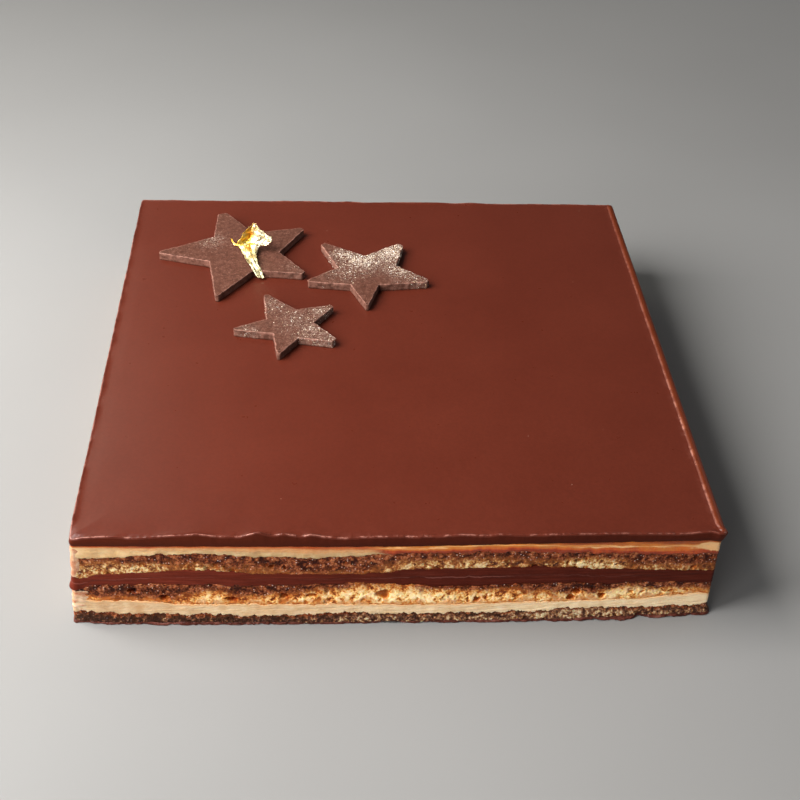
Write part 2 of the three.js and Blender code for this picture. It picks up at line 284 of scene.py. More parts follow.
def ragged(seed, spacing, height, octaves=3):
    """Uneven but closed round the cake: random knots, joined smoothly, at ever finer spacing."""
    draw = np.random.default_rng(seed)
    total = np.zeros(AROUND)
    for _ in range(octaves):
        count = int(PERIMETER / spacing)
        knots = draw.uniform(-1, 1, count)
        place = OUTLINE["along"] % PERIMETER / PERIMETER * count
        low = np.floor(place).astype(int)
        share = place - low
        share = share * share * (3 - 2 * share)
        total += height * (knots[low % count] * (1 - share) + knots[(low + 1) % count] * share)
        spacing, height = spacing / 2.1, height / 1.5
    return total


def profile(front, seed, low, high, spacing=9.0, reach=5.0):
    """A value round the cake: as given along the front, drawn at random along the other sides."""
    draw = np.random.default_rng(seed)
    rest = np.arange(HALF_SIDE + spacing, PERIMETER - HALF_SIDE, spacing)
    places = [place for place, _ in front] + list(rest)
    values = [value for _, value in front] + list(draw.uniform(low, high, len(rest)))
    return eased(np.interp(OUTLINE["along"], places, values, period=PERIMETER), reach)


def seam_line(number, name):
    """The height of a seam round the cake, even and as cut."""
    plan, along = SEAMS[name], OUTLINE["along"]
    height = plan["level"] + wave_sum(plan["waves"], along)
    if plan["front"]:
        places, values = zip(*plan["front"])
        height = eased(np.where(along < HALF_SIDE, np.interp(along, places, values), height), 5.0)
    return height, height + ragged(number, plan.get("tooth", 2.4), plan["rag"], 4)


SEAM_LINES = {name: seam_line(number, name) for number, name in enumerate(SEAMS)}


def side_reach(side, along, z):
    foot = side["foot"] - side["bow"] * (along - side["fullest"]) ** 2
    return foot + (side["rim"] - foot) * z / GLAZE_TOP


def ring(z, out=0.0, inside=0.0):
    """Points round the cake at height z: shrunk to lie inside the wall, then moved out of it."""
    u, v, z = OUTLINE["u"], OUTLINE["v"], z * np.ones(AROUND)
    across = np.where(u < 0, side_reach(SIDES["left"], v, z), side_reach(SIDES["right"], v, z))
    deep = np.where(v < 0, side_reach(SIDES["front"], u, z), side_reach(SIDES["back"], u, z))
    shrink = 1 - inside / HALF_SIDE
    return np.stack([u * across * shrink + OUTLINE["x"] * out,
                     v * deep * shrink + OUTLINE["y"] * out, z], axis=-1)


CLEARANCE = 0.02 * MM
LOWEST = np.array(cad_box[0]) + [CLEARANCE, CLEARANCE, 0]
HIGHEST = np.array(cad_box[1]) - CLEARANCE


def mesh_from_rings(name, rings, floor_centre, roof_centre, marks=None):
    """A closed mesh from a stack of rings, lowest first; marks are values at each ring point."""
    rings = np.array(rings)
    rows, count = rings.shape[:2]
    points = np.concatenate([rings.reshape(-1, 3), [floor_centre], [roof_centre]]) * MM
    points = np.clip(points, LOWEST, HIGHEST)
    here = np.arange(count)
    after = (here + 1) % count
    sides = []
    for row in range(rows - 1):
        low, high = row * count, (row + 1) * count
        sides.append(np.stack([low + here, low + after, high + after, high + here], axis=1))
    sides = np.concatenate(sides)
    last = (rows - 1) * count
    floor_fan = np.stack([np.full(count, rows * count), after, here], axis=1)
    roof_fan = np.stack([np.full(count, rows * count + 1), last + here, last + after], axis=1)
    corners = np.concatenate([sides.ravel(), floor_fan.ravel(), roof_fan.ravel()])
    sizes = np.concatenate([np.full(len(sides), 4), np.full(2 * count, 3)])
    mesh = bpy.data.meshes.new(name)
    mesh.vertices.add(len(points))
    mesh.vertices.foreach_set("co", points.astype(np.float32).ravel())
    mesh.loops.add(len(corners))
    mesh.loops.foreach_set("vertex_index", corners.astype(np.int32))
    mesh.polygons.add(len(sizes))
    starts = np.concatenate([[0], np.cumsum(sizes)[:-1]])
    mesh.polygons.foreach_set("loop_start", starts.astype(np.int32))
    mesh.polygons.foreach_set("use_smooth", np.ones(len(sizes), bool))
    mesh.update(calc_edges=True)
    mesh.validate()
    for key, values in (marks or {}).items():
        values = np.broadcast_to(values, (rows, count) + np.shape(values)[2:])
        flat = values.reshape(rows * count, -1)
        flat = np.concatenate([flat, np.zeros((2, flat.shape[1]))]).astype(np.float32)
        kind, field = ("FLOAT_VECTOR", "vector") if flat.shape[1] == 3 else ("FLOAT", "value")
        mesh.attributes.new(key, kind, "POINT").data.foreach_set(field, flat.ravel())
    return mesh


def new_piece(name, mesh, material=None):
    piece = bpy.data.objects.new(name, mesh)
    bpy.context.collection.objects.link(piece)
    if material:
        mesh.materials.append(material)
    return piece


def keep_piece(piece, node=None):
    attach(piece, "root")
    if node:
        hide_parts(node)


def add_bump(tree, shader, height, depth, under=None):
    """Fine relief, depth in millimetres, laid over an earlier one where under names it."""
    sockets = {"Height": height, "Distance": depth * MM, "Strength": 1.0}
    if under is not None:
        sockets["Normal"] = under
    bump = add_node(tree, "ShaderNodeBump", sockets)
    tree.links.new(bump.outputs[0], shader.inputs["Normal"])
    return bump.outputs[0]


def undercoat_material():
    material, tree, shader = new_material("dark_chocolate_film", Roughness=0.4, Specular_IOR_Level=0.15)
    place = object_place(tree)
    cloud = noise(tree, place, 420.0, 4.0, 0.6)
    tone = ramp(tree, cloud, [(0.36, (0.035, 0.009, 0.006)), (0.52, (0.085, 0.022, 0.015)),
                              (0.68, (0.17, 0.065, 0.048))])
    tree.links.new(tone, shader.inputs["Base Color"])
    add_bump(tree, shader, noise(tree, place, 1500.0, 3.0), 0.2)
    return material


# How far the undercoat stands out of the wall: (place along the front, distance).
FOOT_REACH = [(-90, 0.3), (-84, 0.75), (-77, 0.95), (-60, 0.6), (-30, 0.3), (-6, 0.25), (-3.5, -0.5),
              (-1, 0.2), (20, 0.55), (40, 0.9), (50, 1.15), (57, 1.0), (60, 1.3), (65, 1.9), (68.5, 1.6),
              (70.5, 0.1), (72.5, 1.0), (77, 1.5), (81, 1.1), (86, 1.1), (90, 1.6), (93, 0.2)]
FOOT_FLARE = profile(FOOT_REACH, 10, -0.1, 0.3, reach=2.0)


def add_undercoat():
    chips = np.minimum(ragged(11, 3.0, 0.3, 4), 0.25)
    out = FOOT_FLARE + chips - 0.1
    heel = np.maximum(ragged(13, 7, 0.55, 4) - 0.3, 0)
    level, top = SEAMS["undercoat_top"]["level"], SEAM_LINES["undercoat_top"][1]
    rings = [ring(0.0, inside=3.0), ring(heel * 0.9, out - 0.6), ring(heel * 0.9 + 0.02, out - 0.12),
             ring(heel * 0.6 + 0.2, out), ring(0.5, out - 0.1), ring(top, out * 0.75 - 0.15),
             ring(level, inside=2.5)]
    mesh = mesh_from_rings("undercoat", rings, (0, 0, 0), (0, 0, level))
    keep_piece(new_piece("undercoat", mesh, undercoat_material()), "base_coat")


add_undercoat()

# ---------------------------------------------------------------- sponges
# Three sheets of almond sponge, brushed with coffee syrup from above, so that the upper part
# of each is soaked dark and the lower part stays pale. Their cut walls are open crumb: bubbles
# cut through at every depth, torn a little by the knife, glossier where the syrup stands, with painted
# glints.


def new_relief_tree(name, sizes):
    """An empty tree that takes a mesh and these sizes, with its input and output nodes."""
    tree = bpy.data.node_groups.new(name, "GeometryNodeTree")
    tree.interface.new_socket("Geometry", in_out="INPUT", socket_type="NodeSocketGeometry")
    tree.interface.new_socket("Geometry", in_out="OUTPUT", socket_type="NodeSocketGeometry")
    for key, value in sizes.items():
        kind = {int: "Int", float: "Float"}.get(type(value), "Material")
        socket = tree.interface.new_socket(key, in_out="INPUT", socket_type="NodeSocket" + kind)
        if kind != "Material":
            socket.default_value = value
    return tree, add_node(tree, "NodeGroupInput"), add_node(tree, "NodeGroupOutput")


def bake_modifier(piece, tree, sizes):
    """Runs a node tree on the piece with these named sizes and keeps the plain mesh."""
    modifier = piece.modifiers.new(tree.name, "NODES")
    modifier.node_group = tree
    for item in tree.interface.items_tree:
        if item.in_out == "INPUT" and item.name in sizes:
            modifier[item.identifier] = sizes[item.name]
    graph = bpy.context.evaluated_depsgraph_get()
    finished = bpy.data.meshes.new_from_object(piece.evaluated_get(graph))
    piece.modifiers.clear()
    rough = piece.data
    piece.data = finished
    bpy.data.meshes.remove(rough)
    finished.name = piece.name
    points = np.empty(len(finished.vertices) * 3, np.float32)
    finished.vertices.foreach_get("co", points)
    points = np.clip(points.reshape(-1, 3), LOWEST, HIGHEST)
    finished.vertices.foreach_set("co", points.astype(np.float32).ravel())
    finished.update()


def calc(tree, operation, *values):
    return add_node(tree, "ShaderNodeMath", dict(enumerate(values)), operation=operation).outputs[0]


def plus(tree, first, *others):
    for other in others:
        first = calc(tree, "ADD", first, other)
    return first


def minus(tree, first, second):
    return calc(tree, "SUBTRACT", first, second)


def times(tree, first, *others):
    for other in others:
        first = calc(tree, "MULTIPLY", first, other)
    return first


def swing(tree, value):
    """A value of 0 to 1, moved so that it swings about zero."""
    return minus(tree, value, 0.5)


def vector_calc(tree, operation, first, second):
    key = "Scale" if operation == "SCALE" else 1
    return add_node(tree, "ShaderNodeVectorMath", {0: first, key: second}, operation=operation).outputs[0]


def live_output(node):
    """The output that the node's data type leaves in use."""
    return next(socket for socket in node.outputs if socket.enabled)


def named(tree, name, kind="FLOAT"):
    return live_output(add_node(tree, "GeometryNodeInputNamedAttribute", {"Name": name}, data_type=kind))


def millimetre_place(tree, seed):
    """The point's place in millimetres, moved so that each seed has a pattern of its own."""
    place = add_node(tree, "GeometryNodeInputPosition").outputs[0]
    shift = add_node(tree, "ShaderNodeCombineXYZ", {0: times(tree, seed, 37.0), 2: seed})
    return vector_calc(tree, "ADD", vector_calc(tree, "SCALE", place, 1 / MM), shift.outputs[0])


def push_out(tree, geometry, distance):
    """Moves every point out of the wall by distance, in millimetres."""
    metres = times(tree, distance, MM)
    offset = vector_calc(tree, "SCALE", named(tree, "outward", "FLOAT_VECTOR"), metres)
    return add_node(tree, "GeometryNodeSetPosition", {"Geometry": geometry, "Offset": offset}).outputs[0]


def finish_tree(tree, given, result, geometry):
    realized = add_node(tree, "GeometryNodeRealizeInstances", {"Geometry": geometry})
    coated = add_node(tree, "GeometryNodeSetMaterial",
                      {"Geometry": realized.outputs[0], "Material": given.outputs["Material"]})
    tree.links.new(coated.outputs[0], result.inputs[0])


def crumb_tree():
    sizes = {"Seed": 1, "Large pore": 3.0, "Small pore": 1.1, "Pore depth": 1.0, "Tear": 0.3,
             "Material": None}
    tree, given, result = new_relief_tree("sponge_crumb", sizes)
    place = millimetre_place(tree, given.outputs["Seed"])
    swirl = vector_calc(tree, "SUBTRACT", noise(tree, place, 0.7, output="Color"), (0.5, 0.5, 0.5))
    bent = vector_calc(tree, "ADD", place, vector_calc(tree, "SCALE", swirl, 1.8))
    openness = remap(tree, named(tree, "rise"), 0.85, 0.3, 0.6, 1.0)

    def pits(size, low, high):
        """Depth of the bubbles of one size, each a ball cut by the wall."""
        scale = calc(tree, "DIVIDE", 1.0, size)
        cells = add_node(tree, "ShaderNodeTexVoronoi", {"Vector": bent, "Scale": scale})
        chance = add_node(tree, "ShaderNodeSeparateXYZ", {0: cells.outputs["Color"]}).outputs[0]
        radius = remap(tree, chance, 0.0, 1.0, low, high, "LINEAR")
        radius = calc(tree, "MAXIMUM", times(tree, radius, openness), 0.0)
        away = cells.outputs["Distance"]
        span = minus(tree, calc(tree, "POWER", radius, 2.0), calc(tree, "POWER", away, 2.0))
        return times(tree, calc(tree, "SQRT", calc(tree, "MAXIMUM", span, 0.0)), size)

    large = pits(given.outputs["Large pore"], -0.6, 0.45)
    small = pits(given.outputs["Small pore"], -0.4, 0.5)
    depth = times(tree, calc(tree, "MAXIMUM", large, small), given.outputs["Pore depth"])
    depth = plus(tree, depth, named(tree, "cavity"))
    torn = swing(tree, noise(tree, place, 0.9, 3.0, 0.55))
    broad = swing(tree, noise(tree, place, 0.25, 2.0))
    crags = times(tree, plus(tree, times(tree, torn, 1.5), broad), given.outputs["Tear"])
    out = calc(tree, "MINIMUM", minus(tree, crags, depth), 0.4)
    moved = push_out(tree, given.outputs[0], out)
    sunk = remap(tree, out, 0.15, -0.85, 0.0, 1.0, "LINEAR")
    marked = add_node(tree, "GeometryNodeStoreNamedAttribute",
                      {"Geometry": moved, "Name": "sunk", "Value": sunk})
    finish_tree(tree, given, result, marked.outputs[0])
    return tree


CRUMB = crumb_tree()
ORANGE_BROWN = (0.4, 0.12, 0.025, 1)


def read(tree, name):
    return add_node(tree, "ShaderNodeAttribute", attribute_name=name).outputs["Fac"]


def sponge_material(name, pale, stain, warmth, fine):
    """The dry crumb runs through the pale colours; stain and warmth say how syrup reddens its edges."""
    material, tree, shader = new_material(
        name, Subsurface_Weight=0.4, Subsurface_Radius=(1.0, 0.4, 0.15), Subsurface_Scale=0.6 * MM,
        Specular_IOR_Level=0.09)
    place = object_place(tree)
    rise, sunk, soak, light = (read(tree, key) for key in ("rise", "sunk", "soak", "light"))
    patch = noise(tree, place, 240.0, 3.0, 0.55)
    mottle = noise(tree, place, 560.0 * fine, 3.0, 0.6)
    grain = noise(tree, place, 1700.0, 2.0, 0.5)
    patch_off, mottle_off, grain_off = swing(tree, patch), swing(tree, mottle), swing(tree, grain)
    # Over is how far a spot lies above the ragged line down to which the syrup has sunk.
    level = plus(tree, rise, times(tree, patch_off, 0.9), times(tree, mottle_off, 0.9))
    over = minus(tree, level, minus(tree, 1.0, soak))
    wet = remap(tree, over, -0.1, 0.14)
    body = plus(tree, 0.5, times(tree, mottle_off, 2.0), times(tree, grain_off, 0.9))
    dry = plus(tree, body, times(tree, swing(tree, light), 0.35), times(tree, patch_off, 0.8))
    between = times(tree, remap(tree, over, -0.34, -0.08), warmth)
    dry = minus(tree, dry, times(tree, between, 0.2))
    dry_tone = ramp(tree, dry, pale)
    # Just below that line, and where syrup crept in at the foot of the sheet, the crumb is reddened.
    edge = plus(tree, minus(tree, 0.2, rise), times(tree, patch_off, 1.1))
    rim = times(tree, remap(tree, edge, -0.1, 0.12), stain)
    dry_tone = blend(tree, rim, dry_tone, ORANGE_BROWN)
    dry_tone = blend(tree, times(tree, between, 0.45), dry_tone, ORANGE_BROWN)
    tone = blend(tree, wet, dry_tone, ramp(tree, body, SOAKED_CRUMB))
    shade = ramp(tree, sunk, HOLE_SHADE)
    tone = blend(tree, 1.0, tone, shade, "MULTIPLY")
    # Painted glints: small bright spots in the colour where wet syrup would catch the light, more of them
    # where the crumb is wet.
    glint_cells = add_node(tree, "ShaderNodeTexVoronoi", {"Vector": place, "Scale": 1350.0})
    lucky = add_node(tree, "ShaderNodeSeparateColor", {0: glint_cells.outputs["Color"]}).outputs[0]
    bead = remap(tree, glint_cells.outputs["Distance"], 0.32, 0.14)
    glint = times(tree, bead, remap(tree, lucky, 0.66, 0.8), plus(tree, times(tree, wet, 0.5), 0.14))
    tone = blend(tree, glint, tone, (0.66, 0.45, 0.37, 1))
    tree.links.new(tone, shader.inputs["Base Color"])
    tree.links.new(remap(tree, wet, 0.0, 1.0, 0.55, 0.22), shader.inputs["Roughness"])
    coarse = add_bump(tree, shader, mottle, 0.25)
    add_bump(tree, shader, grain, 0.1, under=coarse)
    return material


PALE_CRUMB = [(0.26, (0.14, 0.03, 0.008)), (0.38, (0.38, 0.11, 0.022)), (0.48, (0.6, 0.28, 0.075)),
              (0.6, (0.75, 0.47, 0.18)), (0.78, (0.86, 0.68, 0.38))]
OLIVE_CRUMB = [(0.26, (0.06, 0.016, 0.008)), (0.42, (0.12, 0.038, 0.014)), (0.55, (0.24, 0.085, 0.026)),
               (0.68, (0.44, 0.255, 0.095)), (0.84, (0.66, 0.54, 0.31))]
DARK_CRUMB = [(0.26, (0.031, 0.0115, 0.0068)), (0.46, (0.072, 0.03, 0.0185)),
              (0.6, (0.155, 0.062, 0.032)), (0.74, (0.29, 0.155, 0.072)), (0.92, (0.52, 0.42, 0.27))]
SOAKED_CRUMB = [(0.24, (0.028, 0.006, 0.0035)), (0.45, (0.086, 0.0195, 0.008)),
                (0.62, (0.17, 0.044, 0.0165)), (0.82, (0.32, 0.11, 0.045))]
HOLE_SHADE = [(0.15, (1, 1, 1)), (0.4, (0.88, 0.66, 0.42)), (0.65, (0.6, 0.28, 0.11)),
              (1.0, (0.3, 0.1, 0.04))]
# Soak is how far down the syrup has sunk and light how pale the dry crumb is: (place, share) along
# the front, and a usual range elsewhere. A cavity is (place, height, half width, half height).
SPONGES = {
    "bottom_sponge": dict(
        floor="undercoat_top", roof="bottom_sponge_top", rows=15, seed=3, large=2.2, depth=0.7,
        tear=0.35, pale=DARK_CRUMB, stain=0.0, warmth=0.1, fine=1.35,
        usual_soak=(0.2, 0.5), usual_light=(0.2, 0.8),
        soak=[(-88, 0.3), (-20, 0.3), (-8, 0.15), (4, 0.25), (30, 0.2), (52, 0.1), (70, 0.25), (88, 0.3)],
        light=[(-88, -0.2), (-50, -0.1), (-20, 0.2), (-8, 0.9), (2, 0.5), (22, 0.7), (40, 0.8), (52, 1.1),
               (62, 0.7), (88, 0.4)],
        cavities=[]),
    "middle_sponge": dict(
        floor="lower_cream_top", roof="middle_sponge_top", rows=27, seed=5, large=3.0, depth=0.8,
        tear=0.22, pale=PALE_CRUMB, stain=0.7, warmth=0.75, fine=0.9,
        usual_soak=(0.25, 0.6), usual_light=(0.2, 0.9),
        soak=[(-88, 0.5), (-82, 0.75), (-63, 0.75), (-58, 0.5), (-55, 0.4), (-49, 0.4), (-46, 0.55),
              (-38, 0.5), (-33, 0.48), (-27, 0.32), (-20, 0.3), (-14, 0.15), (4, 0.1), (10, 0.15),
              (20, 0.3), (30, 0.2), (36, 0.42), (44, 0.46), (58, 0.48), (62, 0.26), (68, 0.28),
              (76, 0.4), (88, 0.4)],
        light=[(-88, 0.5), (-82, 0.0), (-66, 0.1), (-62, 0.7), (-58, 0.3), (-55, 1.1), (-50, 1.0),
               (-46, 0.0), (-43, 0.7), (-35, 0.7), (-31, 0.2), (-26, 0.7), (-18, 0.8), (4, 1.1),
               (20, 0.9), (34, 0.7), (44, 0.9), (58, 0.9), (63, 1.3), (68, 1.1), (80, 0.9), (88, 0.5)],
        cavities=[(-74.4, 12.1, 1.5, 1.0), (-65.7, 9.8, 1.2, 1.0), (-47.1, 9.2, 1.9, 0.9),
                  (-32.4, 10.3, 1.3, 1.0), (-24.6, 10.5, 1.8, 0.7), (-4.7, 10.7, 2.2, 1.6),
                  (34.0, 9.3, 1.0, 0.5), (50.9, 10.4, 1.5, 1.2), (67.0, 9.6, 0.9, 0.6)]),
    "upper_sponge": dict(
        floor="ganache_top", roof="upper_sponge_top", rows=26, seed=8, large=2.4, depth=0.7,
        tear=0.22, pale=OLIVE_CRUMB, stain=0.25, warmth=0.6, fine=1.0,
        usual_soak=(0.35, 0.6), usual_light=(0.2, 0.9),
        soak=[(-88, 0.16), (-82, 0.22), (-74, 0.42), (-62, 0.52), (-50, 0.64), (-38, 0.65), (-33, 0.92),
              (-12, 0.9), (-5, 0.6), (2, 0.45), (14, 0.42), (26, 0.42), (33, 0.6), (44, 0.5), (50, 0.38),
              (62, 0.42), (67, 0.72), (72, 0.58), (88, 0.62)],
        light=[(-88, 0.7), (-81, 0.75), (-77, 1.0), (-68, 1.1), (-62, 0.3), (-58, 0.8), (-52, 1.0),
               (-46, 0.4), (-34, 0.2), (-12, 0.1), (-4, 0.7), (6, 1.2), (14, 0.9), (24, 1.0), (34, 0.4),
               (44, 0.6), (50, 1.3), (62, 1.2), (67, 0.1), (71, 1.0), (80, 0.8), (88, 0.3)],
        cavities=[(-71.5, 21.6, 0.8, 0.4), (-36.0, 20.8, 0.8, 0.5)]),
}
DEEPEST_HOLE = 0.92


def carved(cavities, rings):
    """Depth of the larger holes in the wall at each ring point."""
    depth = np.zeros(rings.shape[:2])
    for along, z, wide, high in cavities:
        aside = np.clip(OUTLINE["along"] - along, -50, 50) / wide
        above = (rings[:, :, 2] - z) / high
        uneven = 1 + 0.2 * np.sin(3 * np.arctan2(above, aside) + along)
        away = (aside ** 2 + above ** 2) * uneven
        depth = np.maximum(depth, min(1.1 * high, DEEPEST_HOLE) * np.maximum(1 - away ** 2, 0))
    return depth


def layer_rings(floor, roof, rows, out=0.0, flare=0.0):
    """One layer between two seams: flat inside, ragged where its wall meets the seams."""
    (low, low_cut), (high, high_cut) = SEAM_LINES[floor], SEAM_LINES[roof]
    shares = np.linspace(0, 1, rows)
    wall = []
    for share in shares:
        wall.append(ring(low_cut + (high_cut - low_cut) * share, out + flare * (1 - share) ** 1.5))
    rings = np.array([ring(low, inside=2.0), *wall, ring(high, inside=2.0)])
    rise = np.concatenate([[0], shares, [1]])[:, None]
    way = np.stack([OUTLINE["x"], OUTLINE["y"], np.zeros(AROUND)], axis=-1)
    outward = np.repeat(way[None], len(rings), axis=0)
    outward[[0, -1]] = 0
    return rings, dict(rise=rise, outward=outward)


def add_sponge(name, plan):
    flare = np.clip(FOOT_FLARE * 0.7 - 0.15, 0, 0.8) if name == "bottom_sponge" else 0.0
    rings, marks = layer_rings(plan["floor"], plan["roof"], plan["rows"], flare=flare)
    draw = np.random.default_rng(plan["seed"])
    middle = (SEAMS[plan["floor"]]["level"] + SEAMS[plan["roof"]]["level"]) / 2
    holes = []
    for place in np.arange(HALF_SIDE + 8, PERIMETER - HALF_SIDE - 8, 16):
        holes.append((place + draw.uniform(-5, 5), middle + draw.uniform(-1.6, 0.6),
                      draw.uniform(0.7, 1.7), draw.uniform(0.4, 1.0)))
    marks["cavity"] = carved(plan["cavities"] + holes, rings)
    marks["soak"] = profile(plan["soak"], plan["seed"] + 50, *plan["usual_soak"])[None]
    marks["light"] = profile(plan["light"], plan["seed"] + 80, *plan["usual_light"])[None]
    mesh = mesh_from_rings(name, rings, (0, 0, SEAMS[plan["floor"]]["level"]),
                           (0, 0, SEAMS[plan["roof"]]["level"]), marks)
    piece = new_piece(name + "_crumb", mesh)
    crumb = sponge_material(name + "_crumb", plan["pale"], plan["stain"], plan["warmth"], plan["fine"])
    bake_modifier(piece, CRUMB, {
        "Seed": plan["seed"], "Large pore": plan["large"], "Pore depth": plan["depth"],
        "Tear": plan["tear"], "Material": crumb,
    })
    keep_piece(piece, name)


for name, plan in SPONGES.items():
    add_sponge(name, plan)

# ---------------------------------------------------------------- buttercreams and ganache
# Soft fillings, spread level and cut with a hot knife that leaves fine lines along the wall.
# The upper cream is partly covered by a film of caramel-coloured syrup that ran down from
# under the glaze; it is thin at the left and covers the whole band, wet and glossy, at the right.


def drawn_out(tree, place, share, slant):
    """The place with its length along the wall cut to a share: a noise read there makes long streaks."""
    split = add_node(tree, "ShaderNodeSeparateXYZ", {0: place})
    length = plus(tree, split.outputs[0], split.outputs[1])
    height = plus(tree, split.outputs[2], times(tree, length, slant))
    return add_node(tree, "ShaderNodeCombineXYZ", {0: times(tree, length, share), 1: height}).outputs[0]


def drag_tree():
    sizes = {"Seed": 1, "Line depth": 0.12, "Slump": 0.5, "Material": None}
    tree, given, result = new_relief_tree("knife_drag", sizes)
    place = millimetre_place(tree, given.outputs["Seed"])
    drag = swing(tree, noise(tree, drawn_out(tree, place, 0.09, -0.06), 1.6, 3.0, 0.6))
    slump = swing(tree, noise(tree, place, 0.12, 2.0))
    out = plus(tree, times(tree, drag, given.outputs["Line depth"]),
               times(tree, slump, given.outputs["Slump"]), named(tree, "ledge"))
    finish_tree(tree, given, result, push_out(tree, given.outputs[0], out))
    return tree


def drag_streaks(tree, place, slant, scale):
    """Fine streaks that the knife leaves along the wall."""
    return noise(tree, drawn_out(tree, place, 0.06, slant), scale, 3.0)


def dimmed(tree, tone, share):
    """The tone with only this share of its light left."""
    grey = add_node(tree, "ShaderNodeCombineColor", {0: share, 1: share, 2: share}).outputs[0]
    return blend(tree, 1.0, tone, grey, "MULTIPLY")


def cream_material():
    material, tree, shader = new_material(
        "coffee_buttercream", Roughness=0.5, Subsurface_Weight=0.3, Specular_IOR_Level=0.25,
        Subsurface_Radius=(1.0, 0.6, 0.35), Subsurface_Scale=1.0 * MM)
    place = object_place(tree)
    rise, yellower_share = read(tree, "rise"), read(tree, "darker_yellower")
    cloud = noise(tree, place, 320.0, 3.0)
    fresh = ramp(tree, cloud, [(0.3, (0.7, 0.5, 0.295)), (0.5, (0.77, 0.59, 0.37)),
                               (0.7, (0.82, 0.66, 0.43))])
    yellower_tone = ramp(tree, cloud, [(0.3, (0.43, 0.25, 0.12)), (0.5, (0.5, 0.33, 0.185)),
                                  (0.7, (0.58, 0.42, 0.26))])
    # The lower cream turns darker and yellower by this share, most at the left of the front.
    tone = blend(tree, yellower_share, fresh, yellower_tone)
    streak = drag_streaks(tree, place, -0.06, 1800.0)
    tone = blend(tree, remap(tree, streak, 0.5, 0.7, 0.0, 0.3), tone, (0.6, 0.38, 0.2, 1))
    near_top = plus(tree, rise, times(tree, cloud, 0.5))
    tone = blend(tree, remap(tree, near_top, 1.05, 1.3, 0.0, 0.6), tone, (0.6, 0.26, 0.08, 1))
    tree.links.new(tone, shader.inputs["Base Color"])
    relief = add_bump(tree, shader, streak, 0.25)
    add_bump(tree, shader, noise(tree, place, 1400.0, 3.0), 0.12, under=relief)
    return material


def filmed_cream_material():
    material, tree, shader = new_material(
        "caramel_filmed_buttercream", Subsurface_Weight=0.25, Specular_IOR_Level=0.5,
        Subsurface_Radius=(1.0, 0.45, 0.2), Subsurface_Scale=0.8 * MM)
    place = object_place(tree)
    rise, film = read(tree, "rise"), read(tree, "film")
    cloud = noise(tree, place, 300.0, 3.0)
    streak = drag_streaks(tree, place, 0.02, 900.0)
    sway = drag_streaks(tree, place, 0.0, 220.0)
    cream = ramp(tree, cloud, [(0.3, (0.435, 0.255, 0.11)), (0.5, (0.535, 0.34, 0.16)),
                               (0.7, (0.64, 0.445, 0.235))])
    # Height runs from 0 at the film's lower end to 1 under the glaze, shaken by the drag.
    from_top = minus(tree, 1.0, rise)
    drop = calc(tree, "MINIMUM", calc(tree, "MAXIMUM", film, 0.2), 1.0)
    height = minus(tree, 1.0, calc(tree, "DIVIDE", from_top, drop))
    height = plus(tree, height, times(tree, swing(tree, sway), 0.7), times(tree, swing(tree, streak), 0.8))
    height = plus(tree, height, remap(tree, film, 1.05, 1.4, -0.3, 0.0, "LINEAR"))
    # A narrow lighter band a little over halfway up the thick film is a painted highlight of its wet
    # gloss.
    # Both films darken right under the glaze: partly the syrup's own colour, partly painted shade under
    # the glaze's lip.
    thick = ramp(tree, height, [
        (0.0, (0.2, 0.023, 0.004)), (0.14, (0.33, 0.045, 0.007)), (0.28, (0.42, 0.09, 0.012)),
        (0.42, (0.45, 0.14, 0.02)), (0.5, (0.5, 0.18, 0.035)), (0.57, (0.66, 0.36, 0.14)),
        (0.65, (0.46, 0.15, 0.025)), (0.84, (0.36, 0.095, 0.015)), (1.0, (0.2, 0.04, 0.01))])
    thin = ramp(tree, height, [
        (0.0, (0.5, 0.25, 0.1)), (0.2, (0.44, 0.17, 0.055)), (0.42, (0.38, 0.1, 0.024)),
        (0.6, (0.31, 0.062, 0.013)), (0.8, (0.22, 0.038, 0.01)), (1.0, (0.13, 0.02, 0.007))])
    caramel = blend(tree, remap(tree, film, 0.55, 0.95), thin, thick)
    cream = dimmed(tree, cream, remap(tree, film, 0.4, 0.5, 1.0, 0.78))
    edge = plus(tree, film, times(tree, swing(tree, cloud), 0.3))
    covered = remap(tree, minus(tree, edge, from_top), -0.22, 0.1)
    tone = blend(tree, covered, cream, caramel)
    # A bare streak runs along just over the middle of the band.
    aside = calc(tree, "DIVIDE", calc(tree, "ABSOLUTE", minus(tree, rise, 0.58)), 0.3)
    bare = plus(tree, minus(tree, read(tree, "bare"), aside), times(tree, swing(tree, streak), 1.2))
    tone = blend(tree, remap(tree, bare, 0.0, 0.4), tone, (0.63, 0.36, 0.155, 1))
    tree.links.new(tone, shader.inputs["Base Color"])
    tree.links.new(remap(tree, covered, 0.0, 1.0, 0.5, 0.16), shader.inputs["Roughness"])
    relief = add_bump(tree, shader, streak, 0.12)
    add_bump(tree, shader, noise(tree, place, 380.0, 3.0), 0.3, under=relief)
    return material


def ganache_material():
    material, tree, shader = new_material("dark_ganache", Roughness=0.36, Specular_IOR_Level=0.06)
    place = object_place(tree)
    streak = drag_streaks(tree, place, 0.0, 1500.0)
    dashes = drag_streaks(tree, place, 0.0, 700.0)
    tone = ramp(tree, streak, [(0.3, (0.062, 0.0098, 0.0052)), (0.55, (0.084, 0.0128, 0.0066)),
                               (0.8, (0.125, 0.024, 0.014))])
    # A painted highlight in short dashes along the ledge halfway up the band.
    from_ledge = calc(tree, "ABSOLUTE", swing(tree, read(tree, "rise")))
    line = times(tree, remap(tree, from_ledge, 0.05, 0.01), remap(tree, dashes, 0.42, 0.58))
    line = times(tree, line, times(tree, read(tree, "ledge_line"), 2.5))
    tone = blend(tree, line, tone, (0.26, 0.09, 0.07, 1))
    # Painted light and shade: the ganache is lighter at the left of the front and darker to the right.
    tree.links.new(dimmed(tree, tone, read(tree, "shade")), shader.inputs["Base Color"])
    relief = add_bump(tree, shader, streak, 0.12)
    add_bump(tree, shader, noise(tree, place, 1100.0, 3.0), 0.05, under=relief)
    return material


DRAG = drag_tree()
